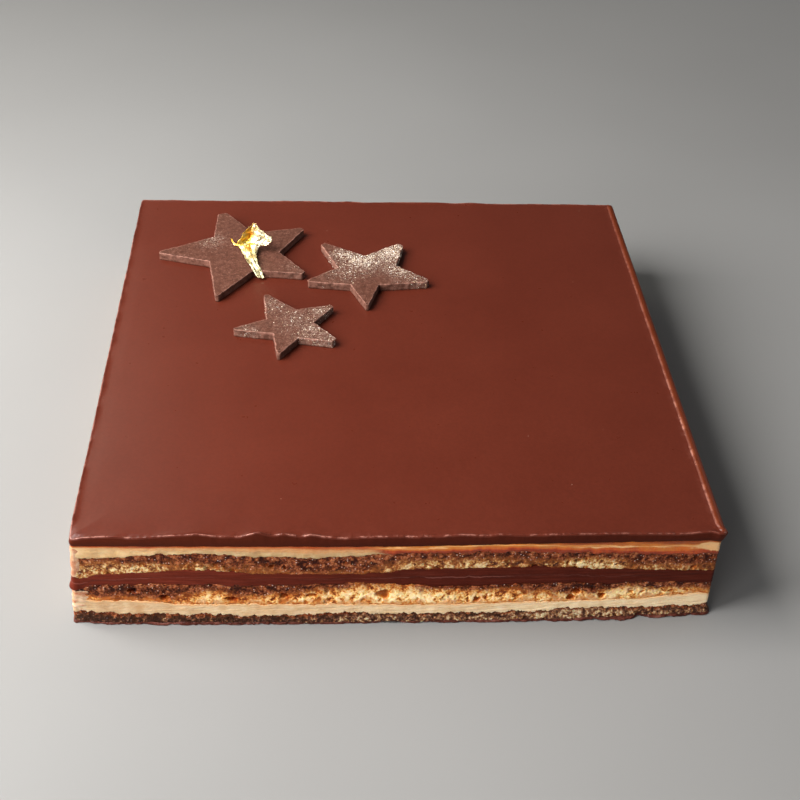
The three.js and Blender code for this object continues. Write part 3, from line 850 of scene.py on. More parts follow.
# All as (place along the front, amount): how far down the upper cream the film reaches, where it
# has dripped off again, how far the lower cream turns darker and yellower, how much painted light
# and shade the ganache has, lighter at the left and darker to the right, and how far the ganache's
# lower half stands back under a ledge, along which a painted highlight runs.
FILM = [(-90, 0.0), (-80, 0.2), (-72, 0.42), (-40, 0.5), (-10, 0.55), (-3, 1.0), (3, 1.2), (14, 1.1),
        (38, 1.05), (48, 1.2), (54, 1.4), (84, 1.5), (89, 1.3)]
BARE = [(-90, -1.0), (20, -1.0), (26, 0.1), (48, 0.0), (54, 0.5), (64, 0.5), (68, 0.0), (73, 0.3),
        (84, 0.5), (87, 1.3), (91, 1.4)]
DARKER_YELLOWER = [(-90, 1.0), (-60, 0.85), (-20, 0.65), (10, 0.5), (50, 0.2), (88, 0.0)]
PAINTED_FALLOFF = [(-90, 1.27), (-70, 1.3), (-20, 0.9), (10, 0.76), (88, 0.7)]
LEDGE = [(-30, 0.0), (-14, 0.15), (0, 0.3), (34, 0.3), (50, 0.15), (70, 0.1), (88, 0.0)]
FILLINGS = {
    "lower_buttercream": dict(
        floor="bottom_sponge_top", roof="lower_cream_top", seed=2, make=cream_material,
        out=0.12, line=0.2, marks=dict(darker_yellower=profile(DARKER_YELLOWER, 62, 0.0, 0.5, 22.0, 12.0))),
    "ganache": dict(
        floor="middle_sponge_top", roof="ganache_top", seed=4, make=ganache_material,
        out=0.05, line=0.12, marks=dict(ledge_line=profile(LEDGE, 61, 0.0, 0.3, 20.0),
                                        shade=profile(PAINTED_FALLOFF, 63, 0.8, 1.1, 22.0, 12.0))),
    "upper_buttercream": dict(
        floor="upper_sponge_top", roof="upper_cream_top", seed=6, make=filmed_cream_material,
        out=0.1, line=0.25, marks=dict(film=profile(FILM, 60, 0.2, 1.2, 22.0, 12.0),
                                       bare=profile(BARE, 64, -1.0, 0.3, 22.0, 3.0))),
}


def add_filling(name, plan):
    from_corner = (OUTLINE["along"] + HALF_SIDE + PERIMETER / 2) % PERIMETER - PERIMETER / 2
    blob = np.exp(-(from_corner / 1.6) ** 2) if name == "ganache" else 0.0
    rings, marks = layer_rings(plan["floor"], plan["roof"], 15, plan["out"], flare=blob)
    for key, values in plan["marks"].items():
        marks[key] = values[None]
    if name == "ganache":
        marks["ledge"] = -0.8 / (1 + np.exp((marks["rise"] - 0.5) * 40)) * marks["ledge_line"]
    mesh = mesh_from_rings(name, rings, (0, 0, SEAMS[plan["floor"]]["level"]),
                           (0, 0, SEAMS[plan["roof"]]["level"]), marks)
    piece = new_piece(name + "_band", mesh)
    bake_modifier(piece, DRAG, {
        "Seed": plan["seed"], "Line depth": plan["line"], "Material": plan["make"](),
    })
    keep_piece(piece, name)


for name, plan in FILLINGS.items():
    add_filling(name, plan)

# ---------------------------------------------------------------- smears
# The knife has drawn a little buttercream up and down the front left corner, over the ends of
# the layers: thin patches of cream, reddened by syrup, that thin out into the wall.

SMEARS = {
    "upper_smear": dict(slot="upper_buttercream", low=16.6, high=28.4, reach=(-14, 8), seed=3),
    "lower_smear": dict(slot="lower_buttercream", low=4.6, high=12.4, reach=(-14, 15), seed=4),
}


def mesh_from_sheet(name, front, back, marks=None):
    """A closed thin sheet between two grids of points; marks are values at each grid point."""
    rows, columns = front.shape[:2]
    points = np.concatenate([front.reshape(-1, 3), back.reshape(-1, 3)]) * MM
    index = np.arange(rows * columns).reshape(rows, columns)
    other = index + rows * columns
    a, b, c, d = index[:-1, :-1], index[:-1, 1:], index[1:, 1:], index[1:, :-1]
    face = np.stack([a, b, c, d], -1).reshape(-1, 4)
    faces = [face, face[:, ::-1] + rows * columns]
    for near, far in ((index[0], other[0]), (index[:, -1], other[:, -1])):
        faces.append(np.stack([near[1:], near[:-1], far[:-1], far[1:]], -1))
    for near, far in ((index[-1], other[-1]), (index[:, 0], other[:, 0])):
        faces.append(np.stack([near[:-1], near[1:], far[1:], far[:-1]], -1))
    mesh = bpy.data.meshes.new(name)
    mesh.from_pydata(points.tolist(), [], np.concatenate(faces).tolist())
    mesh.polygons.foreach_set("use_smooth", np.ones(len(mesh.polygons), bool))
    for key, values in (marks or {}).items():
        flat = np.tile(np.broadcast_to(values, (rows, columns)).ravel(), 2).astype(np.float32)
        mesh.attributes.new(key, "FLOAT", "POINT").data.foreach_set("value", flat)
    return mesh


def smear_material():
    material, tree, shader = new_material(
        "smeared_buttercream", Roughness=0.45, Subsurface_Weight=0.3, Specular_IOR_Level=0.3,
        Subsurface_Radius=(1.0, 0.5, 0.25), Subsurface_Scale=1.0 * MM)
    place = object_place(tree)
    cloud = noise(tree, place, 330.0, 4.0, 0.6)
    tone = ramp(tree, cloud, [(0.37, (0.34, 0.12, 0.06)), (0.45, (0.46, 0.25, 0.14)),
                              (0.54, (0.54, 0.37, 0.24)), (0.7, (0.62, 0.47, 0.33))])
    height = add_node(tree, "ShaderNodeSeparateXYZ", {0: place}).outputs[2]
    browned = times(tree, remap(tree, height, 0.0245, 0.0222), remap(tree, height, 0.014, 0.016),
                    remap(tree, cloud, 0.62, 0.4, 0.25, 0.85))
    tone = blend(tree, browned, tone, (0.36, 0.15, 0.08, 1))
    tree.links.new(tone, shader.inputs["Base Color"])
    add_bump(tree, shader, noise(tree, place, 900.0, 3.0), 0.15)
    return material


SMEARED_CREAM = smear_material()


def add_smear(name, plan):
    columns = np.arange(*plan["reach"]) % AROUND
    levels = np.linspace(plan["low"], plan["high"], 60)
    draw = np.random.default_rng(plan["seed"])
    across = np.linspace(-1, 1, len(columns))
    up = np.linspace(-1, 1, len(levels))[:, None]
    waves = 0
    for phase in draw.uniform(0, 6, 6):
        height = draw.uniform(0.5, 1)
        waves = waves + height * np.sin(draw.uniform(4, 16) * up + draw.uniform(-4, 4) * across + phase)
    film = 0.3 * (1 - across ** 4) * (1 - up ** 6) - 0.12 + 0.045 * waves
    front, back = [], []
    for z, thick in zip(levels, film):
        out = np.zeros(AROUND)
        out[columns] = np.maximum(thick, -0.3)
        front.append(ring(z, out)[columns])
        back.append(ring(z, -0.6)[columns])
    piece = new_piece(name, mesh_from_sheet(name, np.array(front), np.array(back)), SMEARED_CREAM)
    keep_piece(piece)


for name, plan in SMEARS.items():
    add_smear(name, plan)

# ---------------------------------------------------------------- glaze
# Chocolate glaze poured over the chilled cake and trimmed with a hot knife. Its top is flat and
# satin; along the cut edge it has set in a small wavy ridge, with scallops where it sagged, and
# along the right side the knife has taken off a slope.

# How far each top edge hangs out, and its bead: (distance in from the edge, lift above the crest).
EDGES = {
    "front": dict(overhang=0.2, bead=[
        (0.04, -0.22), (0.12, -0.07), (0.22, 0.0), (0.34, 0.02), (0.48, -0.02), (0.65, -0.08), (0.9, -0.1),
        (1.3, -0.1), (1.8, -0.1), (2.4, -0.1)]),
    "right": dict(overhang=0.9, bead=[
        (0.1, -0.2), (0.35, 0.02), (0.7, 0.18), (1.05, 0.3), (1.4, 0.38), (1.75, 0.4), (2.05, 0.33),
        (2.3, 0.16), (2.45, 0.04), (2.7, 0.0)]),
    "back": dict(overhang=0.3, bead=[
        (0.06, -0.25), (0.15, -0.1), (0.28, 0.0), (0.42, 0.02), (0.6, -0.02), (0.8, -0.06), (1.1, -0.08),
        (1.5, -0.08), (2.0, -0.08), (2.6, -0.08)]),
    "left": dict(overhang=0.25, bead=[
        (0.05, -0.22), (0.12, -0.07), (0.22, 0.0), (0.34, 0.02), (0.5, -0.02), (0.7, -0.07), (1.0, -0.09),
        (1.4, -0.09), (1.9, -0.09), (2.5, -0.09)]),
}
# As (place along the front, amount): the ridge's height, how bright its painted highlight is, and how much
# painted light lifts the face.
CREST = [(-90, 30.7), (-87, 31.2), (-79, 31.3), (-75.5, 30.9), (-65, 31.6), (-56.5, 32.0), (-51, 31.3),
         (-44, 31.2), (-41.5, 32.2), (-39.7, 32.8), (-37, 31.6), (-35, 31.5), (-33, 32.2), (-28, 31.1),
         (-25, 31.9), (-22, 31.0), (-16, 30.4), (-12, 30.8), (10, 31.0), (17, 31.7), (24, 30.9),
         (27, 31.5), (34, 31.1), (48, 31.7), (60, 31.7), (71, 31.5), (79, 31.3), (87, 32.1)]
CATCH = [(-90, 0.8), (10, 0.8), (35, 0.5), (90, 0.42)]
LEFT_FACE_LIGHT = [(-90, 0.2), (-60, 0.16), (-20, 0.04), (0, 0.0), (90, 0.0)]
# How strong the painted highlight is, ring by ring across the bead and the slope, and how much the slope
# takes of the redder tone, partly painted light.
BEAD_HIGHLIGHT = (0.15, 0.6, 1.0, 0.75, 0.3, 0.08, 0, 0, 0, 0)
SLOPE_HIGHLIGHT = (0.0, 0.03, 0.08, 0.2, 0.4, 0.8, 0.7, 0.1)
SLOPE_REDNESS = (0.8, 1, 1, 1, 1, 0.9, 0.7, 0.3)
FACE_RINGS = 9
WALL_RINGS = 3 + FACE_RINGS
# Distances in from the edge: the rings of the top, how wide the ridge is, and where the top is level.
ROOF_RINGS = (4.0, 6.0, 9.0, 12.0, 16.0, 20.0, 35.0, 50.0, 65.0, 80.0)
RIDGE_WIDTH = 1.9
LEVEL_FROM = 7.0


def edge_size(key):
    """An edge's size round the cake, handed over smoothly at the corners."""
    share = {
        "front": np.maximum(-OUTLINE["y"], 0) ** 2, "right": np.maximum(OUTLINE["x"], 0) ** 2,
        "back": np.maximum(OUTLINE["y"], 0) ** 2, "left": np.maximum(-OUTLINE["x"], 0) ** 2,
    }
    return sum(share[side][..., None] * np.ravel(EDGES[side][key]) for side in EDGES).T


def glaze_material(name, level, specular):
    """level scales how light the glaze is: the cut face takes a darker copy of it, painted shade."""
    material, tree, shader = new_material(name, Specular_IOR_Level=specular)
    place = object_place(tree)
    rim, redder_and_lit = read(tree, "rim"), read(tree, "redder_and_lit")
    cloud = noise(tree, place, 30.0, 4.0, 0.55)
    skin = noise(tree, place, 320.0, 3.0, 0.6)
    fine = noise(tree, place, 2600.0, 2.0)
    tone = ramp(tree, cloud, [(0.3, (0.069 * level, 0.0122 * level, 0.0062 * level)),
                              (0.7, (0.079 * level, 0.0146 * level, 0.0076 * level))])
    broken = remap(tree, noise(tree, place, 260.0, 4.0, 0.75), 0.47, 0.58, 0.05, 1.0)
    grain = ramp(tree, noise(tree, place, 1100.0, 3.0, 0.6),
                 [(0.35, (0.93, 0.93, 0.93)), (0.65, (1.05, 1.05, 1.05))])
    tone = blend(tree, 1.0, tone, grain, "MULTIPLY")
    # Painted light: a redder, lighter tone on the front face towards the left, and on the right slope,
    # where it is partly the thin glaze's own colour.
    tone = blend(tree, redder_and_lit, tone, (0.105, 0.02, 0.0075, 1))
    # Painted highlight: a pale line in broken dashes along the ridge, and along the slope at the right.
    highlight_tone = blend(tree, redder_and_lit, (0.3, 0.13, 0.1, 1), (0.3, 0.09, 0.04, 1))
    tone = blend(tree, times(tree, rim, broken), tone, highlight_tone)
    dots = add_node(tree, "ShaderNodeTexVoronoi", {"Vector": place, "Scale": 300.0})
    lucky = add_node(tree, "ShaderNodeSeparateColor", {0: dots.outputs["Color"]}).outputs[0]
    dot = remap(tree, dots.outputs["Distance"], 0.07, 0.04)
    speck = times(tree, dot, remap(tree, lucky, 0.95, 0.96), 0.5)
    tone = blend(tree, speck, tone, (0.3, 0.16, 0.12, 1))
    tree.links.new(tone, shader.inputs["Base Color"])
    tree.links.new(plus(tree, times(tree, skin, 0.12), 0.24), shader.inputs["Roughness"])
    broad = add_bump(tree, shader, skin, 0.02)
    add_bump(tree, shader, fine, 0.008, under=broad)
    return material


def set_in(z, out):
    """A ring moved out of the wall, or evenly in from it."""
    return ring(z, np.maximum(out, -0.5), np.maximum(-0.5 - out, 0))


def eased_hold(away, reach):
    """1 at the edge, falling smoothly to 0 where reach ends."""
    hold = np.clip(1 - away / reach, 0, 1)
    return hold * hold * (3 - 2 * hold)


def add_glaze():
    low_even, low = SEAM_LINES["upper_cream_top"]
    along = OUTLINE["along"]
    overhang, bead = edge_size("overhang")[0], edge_size("bead")
    right = np.maximum(OUTLINE["x"], 0) ** 2
    plain = np.maximum(OUTLINE["y"], 0) ** 2 * 0.6 + np.maximum(-OUTLINE["x"], 0) ** 2 * 0.4
    crest = profile(CREST, 30, 31.4, 31.9, 6.0, 2.2) + ragged(31, 3.0, 0.1, 3) * (1 - plain)
    crest = crest * (1 - right) + right * (GLAZE_TOP + 0.05 * np.sin(along / 11))
    broad = GLAZE_TOP + (eased(crest, 26.0) - GLAZE_TOP) * 0.5
    brim = overhang + (ragged(32, 9, 0.12, 2) + ragged(33, 2.5, 0.04, 3)) * (1 - 0.8 * right - plain)
    brim = brim + 0.5 * np.exp(-((along - HALF_SIDE) / 1.3) ** 2)
    catch = profile(CATCH, 35, 0.4, 0.8, 22.0, 12.0)
    # The cut face, up to half a millimetre under the ridge.
    rings = [ring(low_even, inside=2.0), ring(low, -0.1), ring(low + 0.03, 0.1)]
    face_height = crest - 0.5 - (low + 0.1)
    for share in np.linspace(0, 1, FACE_RINGS):
        belly = 0.15 * math.sin(math.pi * share) * (1 - right)
        rings.append(ring(low + 0.1 + face_height * share, 0.15 + (brim - 0.15) * share ** 0.8 + belly))
    # The bead over the ridge, and then the top.
    rim = [np.zeros(AROUND)] * WALL_RINGS
    for (away, lift), highlight_share in zip(bead.reshape(-1, 2, AROUND), BEAD_HIGHLIGHT):
        settled = GLAZE_TOP + (broad - GLAZE_TOP) * (1 - away / LEVEL_FROM)
        ridge = (crest - broad) * eased_hold(away, RIDGE_WIDTH)
        rings.append(set_in(settled + ridge + lift, brim - away))
        rim.append(highlight_share * catch * (1 - right))
    for away in ROOF_RINGS:
        hold = np.clip(1 - away / LEVEL_FROM, 0, 1)
        fade = max(0.0, 1 - away / 12)
        height = GLAZE_TOP + (broad - GLAZE_TOP - 0.09 * (1 - right)) * hold
        rings.append(set_in(height, brim * fade - away) if away < 16 else ring(height, inside=away))
        rim.append(np.zeros(AROUND))
    rim = np.array(rim)
    # On the slope at the right the painted highlight is strongest along its upper edge and towards the
    # front, and the slope is reddish.
    slope_glow = 0.3 + 0.7 * np.exp(-((along - 128) / 27) ** 2)
    slope = slice(WALL_RINGS + 2, WALL_RINGS + 2 + len(SLOPE_HIGHLIGHT))
    rim[slope] += np.outer(SLOPE_HIGHLIGHT, slope_glow * right)
    # The front face takes painted light, most at the left; the right side and its slope take a redder,
    # lighter tone, partly the thin glaze's own colour, partly painted light.
    redder_and_lit = np.zeros_like(rim)
    reddened = profile(LEFT_FACE_LIGHT, 34, 0.0, 0.2, 30.0, 12.0)
    redder_and_lit[:WALL_RINGS] = 0.6 * right + reddened * (1 - right)
    redder_and_lit[WALL_RINGS:WALL_RINGS + len(SLOPE_REDNESS)] = np.outer(SLOPE_REDNESS, right)
    mesh = mesh_from_rings("glaze", rings, (0, 0, SEAMS["upper_cream_top"]["level"]), (0, 0, GLAZE_TOP),
                           dict(rim=rim, redder_and_lit=redder_and_lit))
    mesh.materials.append(glaze_material("chocolate_glaze", 1.0, 0.22))
    mesh.materials.append(glaze_material("cut_glaze", 0.65, 0.04))
    # The cut face, and the outer part of the slope at the right, take the darker copy of the glaze:
    # painted shade.
    cut = np.zeros((len(rings) - 1, AROUND), np.int32)
    cut[:WALL_RINGS - 1] = 1
    cut[:WALL_RINGS + 5, right > 0.5] = 1
    cut = np.concatenate([cut.ravel(), np.zeros(len(mesh.polygons) - cut.size, np.int32)])
    mesh.polygons.foreach_set("material_index", cut)
    keep_piece(new_piece("glaze_sheet", mesh), "glaze")


add_glaze()

# ---------------------------------------------------------------- stars
# Stars cut from a thin sheet of dark chocolate with three cutters, laid on the set glaze. Their
# tips are blunt, and a painted highlight runs along their upper arrises and, fainter, down their cut
# sides.

STAR_THICKNESS = 2.7
# Places from the star's centre: a tip is (reach, direction, width of its blunt end).
STARS = {
    "star_large": dict(
        centre=(-50.5, 50.1),
        tips=[(28.7, -178, 1.2), (26.9, 107.5, 3.4), (26.5, 36, 1.8), (25.9, -31, 1.8), (28.4, -104, 1.2)],
        notches=[(13.9, 137.5), (13.1, 73), (13.4, -1.5), (13.1, -68), (12.6, -148)]),
    "star_medium": dict(
        centre=(-6.7, 38.1),
        tips=[(23, 130.5, 1.9), (21.7, 53, 2.3), (22.4, -15.5, 1.8), (20.5, -90, 1), (21, -162, 1.1)],
        notches=[(9.7, 90.5), (11.4, 17.5), (9.7, -63), (10.2, -121.5), (9.9, 168.5)]),
    "star_small": dict(
        centre=(-32.6, 6),
        tips=[(18.7, 116, 1.7), (17.7, 37, 1.5), (17.1, -30.5, 2), (16.2, -101, 1), (18.2, -171.5, 1.1)],
        notches=[(8.7, 76), (8.1, 8), (8.2, -68), (7.4, -134.5), (8.1, 159)]),
}


def polar(reach, degrees):
    return reach * np.array([math.cos(math.radians(degrees)), math.sin(math.radians(degrees))])


def unit(vectors):
    return vectors / np.linalg.norm(vectors, axis=-1, keepdims=True)


def star_outline(star, spacing=0.35):
    """Points round the star, anticlockwise, with blunt tips that are barely eased."""
    corners = []
    for index, (reach, degrees, blunt) in enumerate(star["tips"]):
        tip = polar(reach, degrees)
        across = unit(np.array([tip[1], -tip[0]])) * blunt / 2
        before, after = polar(*star["notches"][index - 1]), polar(*star["notches"][index])
        first, last = tip - across, tip + across
        into, onto = unit(before - first), unit(after - last)
        ease = min(0.35, blunt * 0.25)
        corners += [first + into * ease, first + into * ease * 0.25 + across / blunt * ease * 0.5,
                    first + across / blunt * ease * 2, last - across / blunt * ease * 2,
                    last + onto * ease * 0.25 - across / blunt * ease * 0.5, last + onto * ease, after]
    points = []
    for start, end in zip(corners, corners[1:] + corners[:1]):
        count = max(1, round(np.linalg.norm(end - start) / spacing))
        points += [start + (end - start) * step / count for step in range(count)]
    return np.array(points[::-1])


def inset_outline(points, distance):
    """The outline moved in by distance, square to its own run."""
    ahead = np.roll(points, -1, axis=0) - points
    behind = points - np.roll(points, 1, axis=0)
    way = unit(unit(ahead) + unit(behind))
    return points + np.stack([-way[:, 1], way[:, 0]], axis=1) * np.reshape(distance, (-1, 1))


def star_material():
    material, tree, shader = new_material("cut_chocolate", Roughness=0.6, Specular_IOR_Level=0.15)
    place = object_place(tree)
    cloud = noise(tree, place, 620.0, 5.0, 0.7)
    scuff = noise(tree, place, 1500.0, 3.0, 0.7)
    body = ramp(tree, cloud, [(0.34, (0.052, 0.0175, 0.0105)), (0.5, (0.072, 0.0255, 0.0155)),
                              (0.68, (0.11, 0.044, 0.03))])
    bloom = remap(tree, scuff, 0.54, 0.7)
    # Painted highlight: paler along the top arris and, more faintly, down the cut sides.
    arris_highlight = times(tree, read(tree, "arris"), remap(tree, cloud, 0.35, 0.6, 0.3, 1.0))
    dust = times(tree, read(tree, "dust"), remap(tree, scuff, 0.44, 0.62))
    pale = calc(tree, "MAXIMUM", times(tree, bloom, 0.3), times(tree, arris_highlight, 0.75))
    tone = blend(tree, pale, body, (0.34, 0.17, 0.13, 1))
    tone = blend(tree, times(tree, dust, 0.7), tone, (0.56, 0.46, 0.38, 1))
    tree.links.new(tone, shader.inputs["Base Color"])
    add_bump(tree, shader, noise(tree, place, 1200.0, 4.0, 0.6), 0.1)
    return material


STAR_CHOCOLATE = star_material()
# Where powder fell on each star: (x, y, reach, amount).
DUSTINGS = {
    "star_large": [(-61.0, 57.0, 4.0, 0.35), (-30.0, 40.0, 5.0, 0.12)],
    "star_medium": [(-13.5, 48.0, 4.5, 0.75), (-7.5, 45.0, 7.0, 0.9), (3.0, 50.0, 6.5, 1.0),
                    (5.0, 40.0, 6.0, 0.6), (12.0, 34.0, 5.0, 0.35), (-14.0, 38.0, 6.0, 0.3)],
    "star_small": [(-22.0, 14.0, 5.0, 0.35), (-30.0, 8.0, 7.0, 0.22), (-24.0, 2.0, 7.0, 0.32),
                   (-19.0, -2.0, 3.5, 0.42), (-38.0, 17.0, 4.0, 0.25), (-46.0, 2.0, 3.0, 0.3)],
}


def dust_amount(name, points):
    """How thickly powder lies at these points, 0 to 1."""
    total = np.zeros(points.shape[:-1])
    for x, y, reach, amount in DUSTINGS[name]:
        away = (points[..., 0] - x) ** 2 + (points[..., 1] - y) ** 2
        total = np.maximum(total, amount * np.exp(-away / reach ** 2))
    return total


def star_mesh(name, star, seed):
    """A slice with rough cut sides: its sections are (height, inset, row of roughness, share of painted
    highlight).
    """
    outline = star_outline(star)
    count = len(outline)
    draw = np.random.default_rng(seed)
    kernel = np.hanning(9) / np.hanning(9).sum()
    rough = [np.convolve(np.tile(draw.normal(0, 1, count), 3), kernel, "same")[count:2 * count]
             for _ in range(4)]
    low, high = GLAZE_TOP, GLAZE_TOP + STAR_THICKNESS
    sections = [(low, 0.6, 0, 0), (low, 0.05, 0, 0), (low + 0.3, 0.0, 1, 0.3), (low + 0.9, 0.05, 1, 0.4),
                (low + 1.5, 0.0, 2, 0.3), (high - 0.35, 0.0, 2, 0.35), (high - 0.12, 0.02, 3, 0.6),
                (high - 0.02, 0.08, 3, 1.0), (high, 0.2, 3, 0.4), (high, 0.45, 3, 0.0)]
    rings, arris = [], []
    for z, inset, row, mark in sections:
        edge = inset_outline(outline, inset + rough[row] * 0.16)
        rings.append(np.column_stack([edge + star["centre"], np.full(count, z)]))
        arris.append(np.full(count, mark))
    rim = rings[-1][:, :2] - star["centre"]
    for share in np.linspace(1, 0, 22)[1:-1]:
        rings.append(np.column_stack([rim * share + star["centre"], np.full(count, high)]))
        arris.append(np.zeros(count))
    marks = dict(arris=arris, dust=dust_amount(name, np.array(rings)))
    return mesh_from_rings(name, rings, (*star["centre"], low), (*star["centre"], high), marks)


STAR_PIECES = {}
for number, (name, star) in enumerate(STARS.items()):
    STAR_PIECES[name] = new_piece(name + "_cut", star_mesh(name, star, 40 + number), STAR_CHOCOLATE)
    keep_piece(STAR_PIECES[name], name)

# ---------------------------------------------------------------- powder
# Pearl and gold powder, tapped over the stars from a brush: fine grains, thick on the upper half
# of the middle star, thinner on the small one, and hardly any on the large one.


def powder_tree():
    sizes = {"Seed": 1, "Grains per mm2": 8.0, "Smallest": 0.05, "Largest": 0.16, "Material": None}
    tree, given, result = new_relief_tree("tapped_powder", sizes)
    amount = calc(tree, "POWER", named(tree, "dust"), 1.5)
    clumps = noise(tree, millimetre_place(tree, given.outputs["Seed"]), 0.9, 3.0)
    clumps = remap(tree, clumps, 0.42, 0.6, 0.15, 1.6)
    density = times(tree, amount, given.outputs["Grains per mm2"], clumps)
    density = calc(tree, "DIVIDE", density, MM * MM)
    facing = add_node(tree, "GeometryNodeInputNormal").outputs[0]
    up = add_node(tree, "ShaderNodeSeparateXYZ", {0: facing}).outputs[2]
    keep = add_node(tree, "FunctionNodeCompare", {0: up, 1: -0.2},
                    data_type="FLOAT", operation="GREATER_THAN")
    spots = add_node(tree, "GeometryNodeDistributePointsOnFaces",
                     {"Mesh": given.outputs[0], "Selection": keep.outputs[0], "Density": density,
                      "Seed": given.outputs["Seed"]})
    grain = add_node(tree, "GeometryNodeMeshIcoSphere", {"Radius": 1 * MM, "Subdivisions": 1})
    chance = add_node(tree, "FunctionNodeRandomValue", {"Seed": given.outputs["Seed"]}, data_type="FLOAT")
    rare = calc(tree, "POWER", live_output(chance), 3.0)
    reach = add_node(tree, "ShaderNodeMapRange", {
        "Value": rare, 3: given.outputs["Smallest"], 4: given.outputs["Largest"]}).outputs[0]
    flat = add_node(tree, "ShaderNodeCombineXYZ", {0: reach, 1: reach, 2: times(tree, reach, 0.6)})
    turn = add_node(tree, "FunctionNodeRandomValue", {0: (-0.6, -0.6, 0.0), 1: (0.6, 0.6, 6.3)},
                    data_type="FLOAT_VECTOR")
    tossed = add_node(tree, "GeometryNodeInstanceOnPoints", {
        "Points": spots.outputs["Points"], "Instance": grain.outputs["Mesh"],
        "Rotation": live_output(turn), "Scale": flat.outputs[0]})
    finish_tree(tree, given, result, tossed.outputs[0])
    return tree


def powder_material():
    material, tree, shader = new_material("pearl_powder", Roughness=0.35, Metallic=0.3)
    place = object_place(tree)
    mix = noise(tree, place, 3000.0, 1.0)
    tone = ramp(tree, mix, [(0.36, (0.62, 0.45, 0.26)), (0.5, (0.76, 0.65, 0.5)),
                            (0.64, (0.9, 0.87, 0.82))])
    tree.links.new(tone, shader.inputs["Base Color"])
    return material


POWDER = powder_tree()
PEARL = powder_material()
GRAINS = {
    "star_large": {"Grains per mm2": 9.0, "Largest": 0.12},
    "star_medium": {"Grains per mm2": 13.0, "Smallest": 0.06, "Largest": 0.2},
    "star_small": {"Grains per mm2": 14.0, "Largest": 0.2},
}
for number, (name, sizes) in enumerate(GRAINS.items()):
    piece = new_piece(name + "_powder", STAR_PIECES[name].data.copy())
    bake_modifier(piece, POWDER, {"Seed": 70 + number, "Material": PEARL, **sizes})
    keep_piece(piece)

# ---------------------------------------------------------------- gold leaf
# A flake of beaten gold, far thinner than paper, lifted on with tweezers: a strip that climbs out
# of a notch of the large star and ends upright, crumpled into flat facets, with torn edges. A
# wisp of it has come away at the left.

LEAF_THICKNESS = 0.06
LEAF_LEFT_EDGE = [
    (-44.0, 35.4, 32.6), (-46.6, 39.0, 35.0), (-48.7, 45.2, 35.2), (-50.9, 50.2, 36.0),
    (-50.8, 51.5, 38.4), (-49.2, 51.9, 41.0), (-47.2, 52.1, 42.8), (-45.6, 52.3, 44.2),
]
LEAF_RIGHT_EDGE = [
    (-41.8, 36.0, 32.2), (-43.4, 39.4, 34.9), (-44.4, 46.4, 35.1), (-43.2, 50.6, 35.8),
    (-39.9, 51.3, 37.6), (-39.6, 51.6, 39.8), (-42.6, 51.9, 41.6), (-44.6, 52.2, 43.9),
]
# How far the leaf is lifted, in millimetres: (share of its length, lift at five places across).
LEAF_FOLDS = [
    (0.0, (0.0, 0.1, 0.0, -0.1, 0.0)), (0.14, (0.3, 0.5, 0.1, 0.5, 0.2)),
    (0.27, (0.5, 0.1, 0.6, 0.2, 0.6)), (0.4, (0.3, 0.9, 0.4, 1.0, 0.3)),
    (0.5, (0.8, 0.2, 1.2, 1.4, 1.9)), (0.6, (0.9, -0.9, 0.5, 0.8, 2.0)),
    (0.7, (1.0, -1.0, 0.3, 1.1, 1.5)), (0.8, (0.4, -0.5, -0.4, 0.5, 0.9)),
    (0.9, (0.0, -0.6, -0.1, -0.7, 0.1)), (1.0, (-0.6, -0.8, -0.7, -0.8, -0.6)),
]
WISP = [(-54.6, 56.0, 35.6), (-54.2, 55.0, 36.3), (-53.4, 53.8, 35.5), (-52.8, 53.0, 35.2),
        (-51.0, 52.4, 35.6)]


def smooth_curve(points, count):
    """A smooth curve through the points."""
    points = np.array(points, float)
    padded = np.concatenate([[2 * points[0] - points[1]], points, [2 * points[-1] - points[-2]]])
    place = np.linspace(0, len(points) - 1 - 1e-9, count)
    low = place.astype(int)
    t = (place - low)[:, None]
    a, b, c, d = (padded[low + step] for step in range(4))
    bend, twist = 2 * a - 5 * b + 4 * c - d, 3 * b - a - 3 * c + d
    return 0.5 * (2 * b + (c - a) * t + bend * t ** 2 + twist * t ** 3)


def torn_edge(points, count, seed):
    """The edge with small uneven tears, in millimetres."""
    curve = smooth_curve(points, count)
    draw = np.random.default_rng(seed)
    for knots, height in ((14, 0.55), (36, 0.3)):
        place = np.linspace(0, 1, count)
        for axis in (0, 2):
            jog = np.interp(place, np.linspace(0, 1, knots), draw.uniform(-height, height * 0.3, knots))
            curve[:, axis] += jog * np.minimum(1, place * 6) * (0.4 if axis == 2 else 1.0)
    return curve


def leaf_material():
    material, tree, shader = new_material("gold_leaf", Metallic=1.0)
    place = object_place(tree)
    cloud = noise(tree, place, 500.0, 3.0)
    tone = ramp(tree, cloud, [(0.35, (0.95, 0.56, 0.05)), (0.5, (1.0, 0.7, 0.13)),
                              (0.62, (1.0, 0.86, 0.42))])
    lying_tone = ramp(tree, cloud, [(0.36, (0.32, 0.27, 0.17)), (0.46, (0.62, 0.56, 0.32)),
                              (0.6, (0.85, 0.82, 0.55))])
    across = add_node(tree, "ShaderNodeSeparateXYZ", {0: place}).outputs[0]
    # Painted highlight: the right part of the leaf is paler, nearly white.
    tone = blend(tree, remap(tree, across, -0.0482, -0.0445, 0.0, 0.8), tone, (1.0, 0.93, 0.72, 1))
    # The strip that lies on the star is greyer and duller.
    tone = blend(tree, read(tree, "lying"), tone, lying_tone)
    # Painted reflection: deep folds take an orange tone, the gold seen in itself.
    tone = blend(tree, read(tree, "fold_reflection"), tone, (1.0, 0.5, 0.05, 1))
    tree.links.new(tone, shader.inputs["Base Color"])
    tree.links.new(remap(tree, cloud, 0.35, 0.65, 0.42, 0.55), shader.inputs["Roughness"])
    add_bump(tree, shader, noise(tree, place, 900.0, 4.0, 0.6), 0.3)
    return material


GOLD = leaf_material()


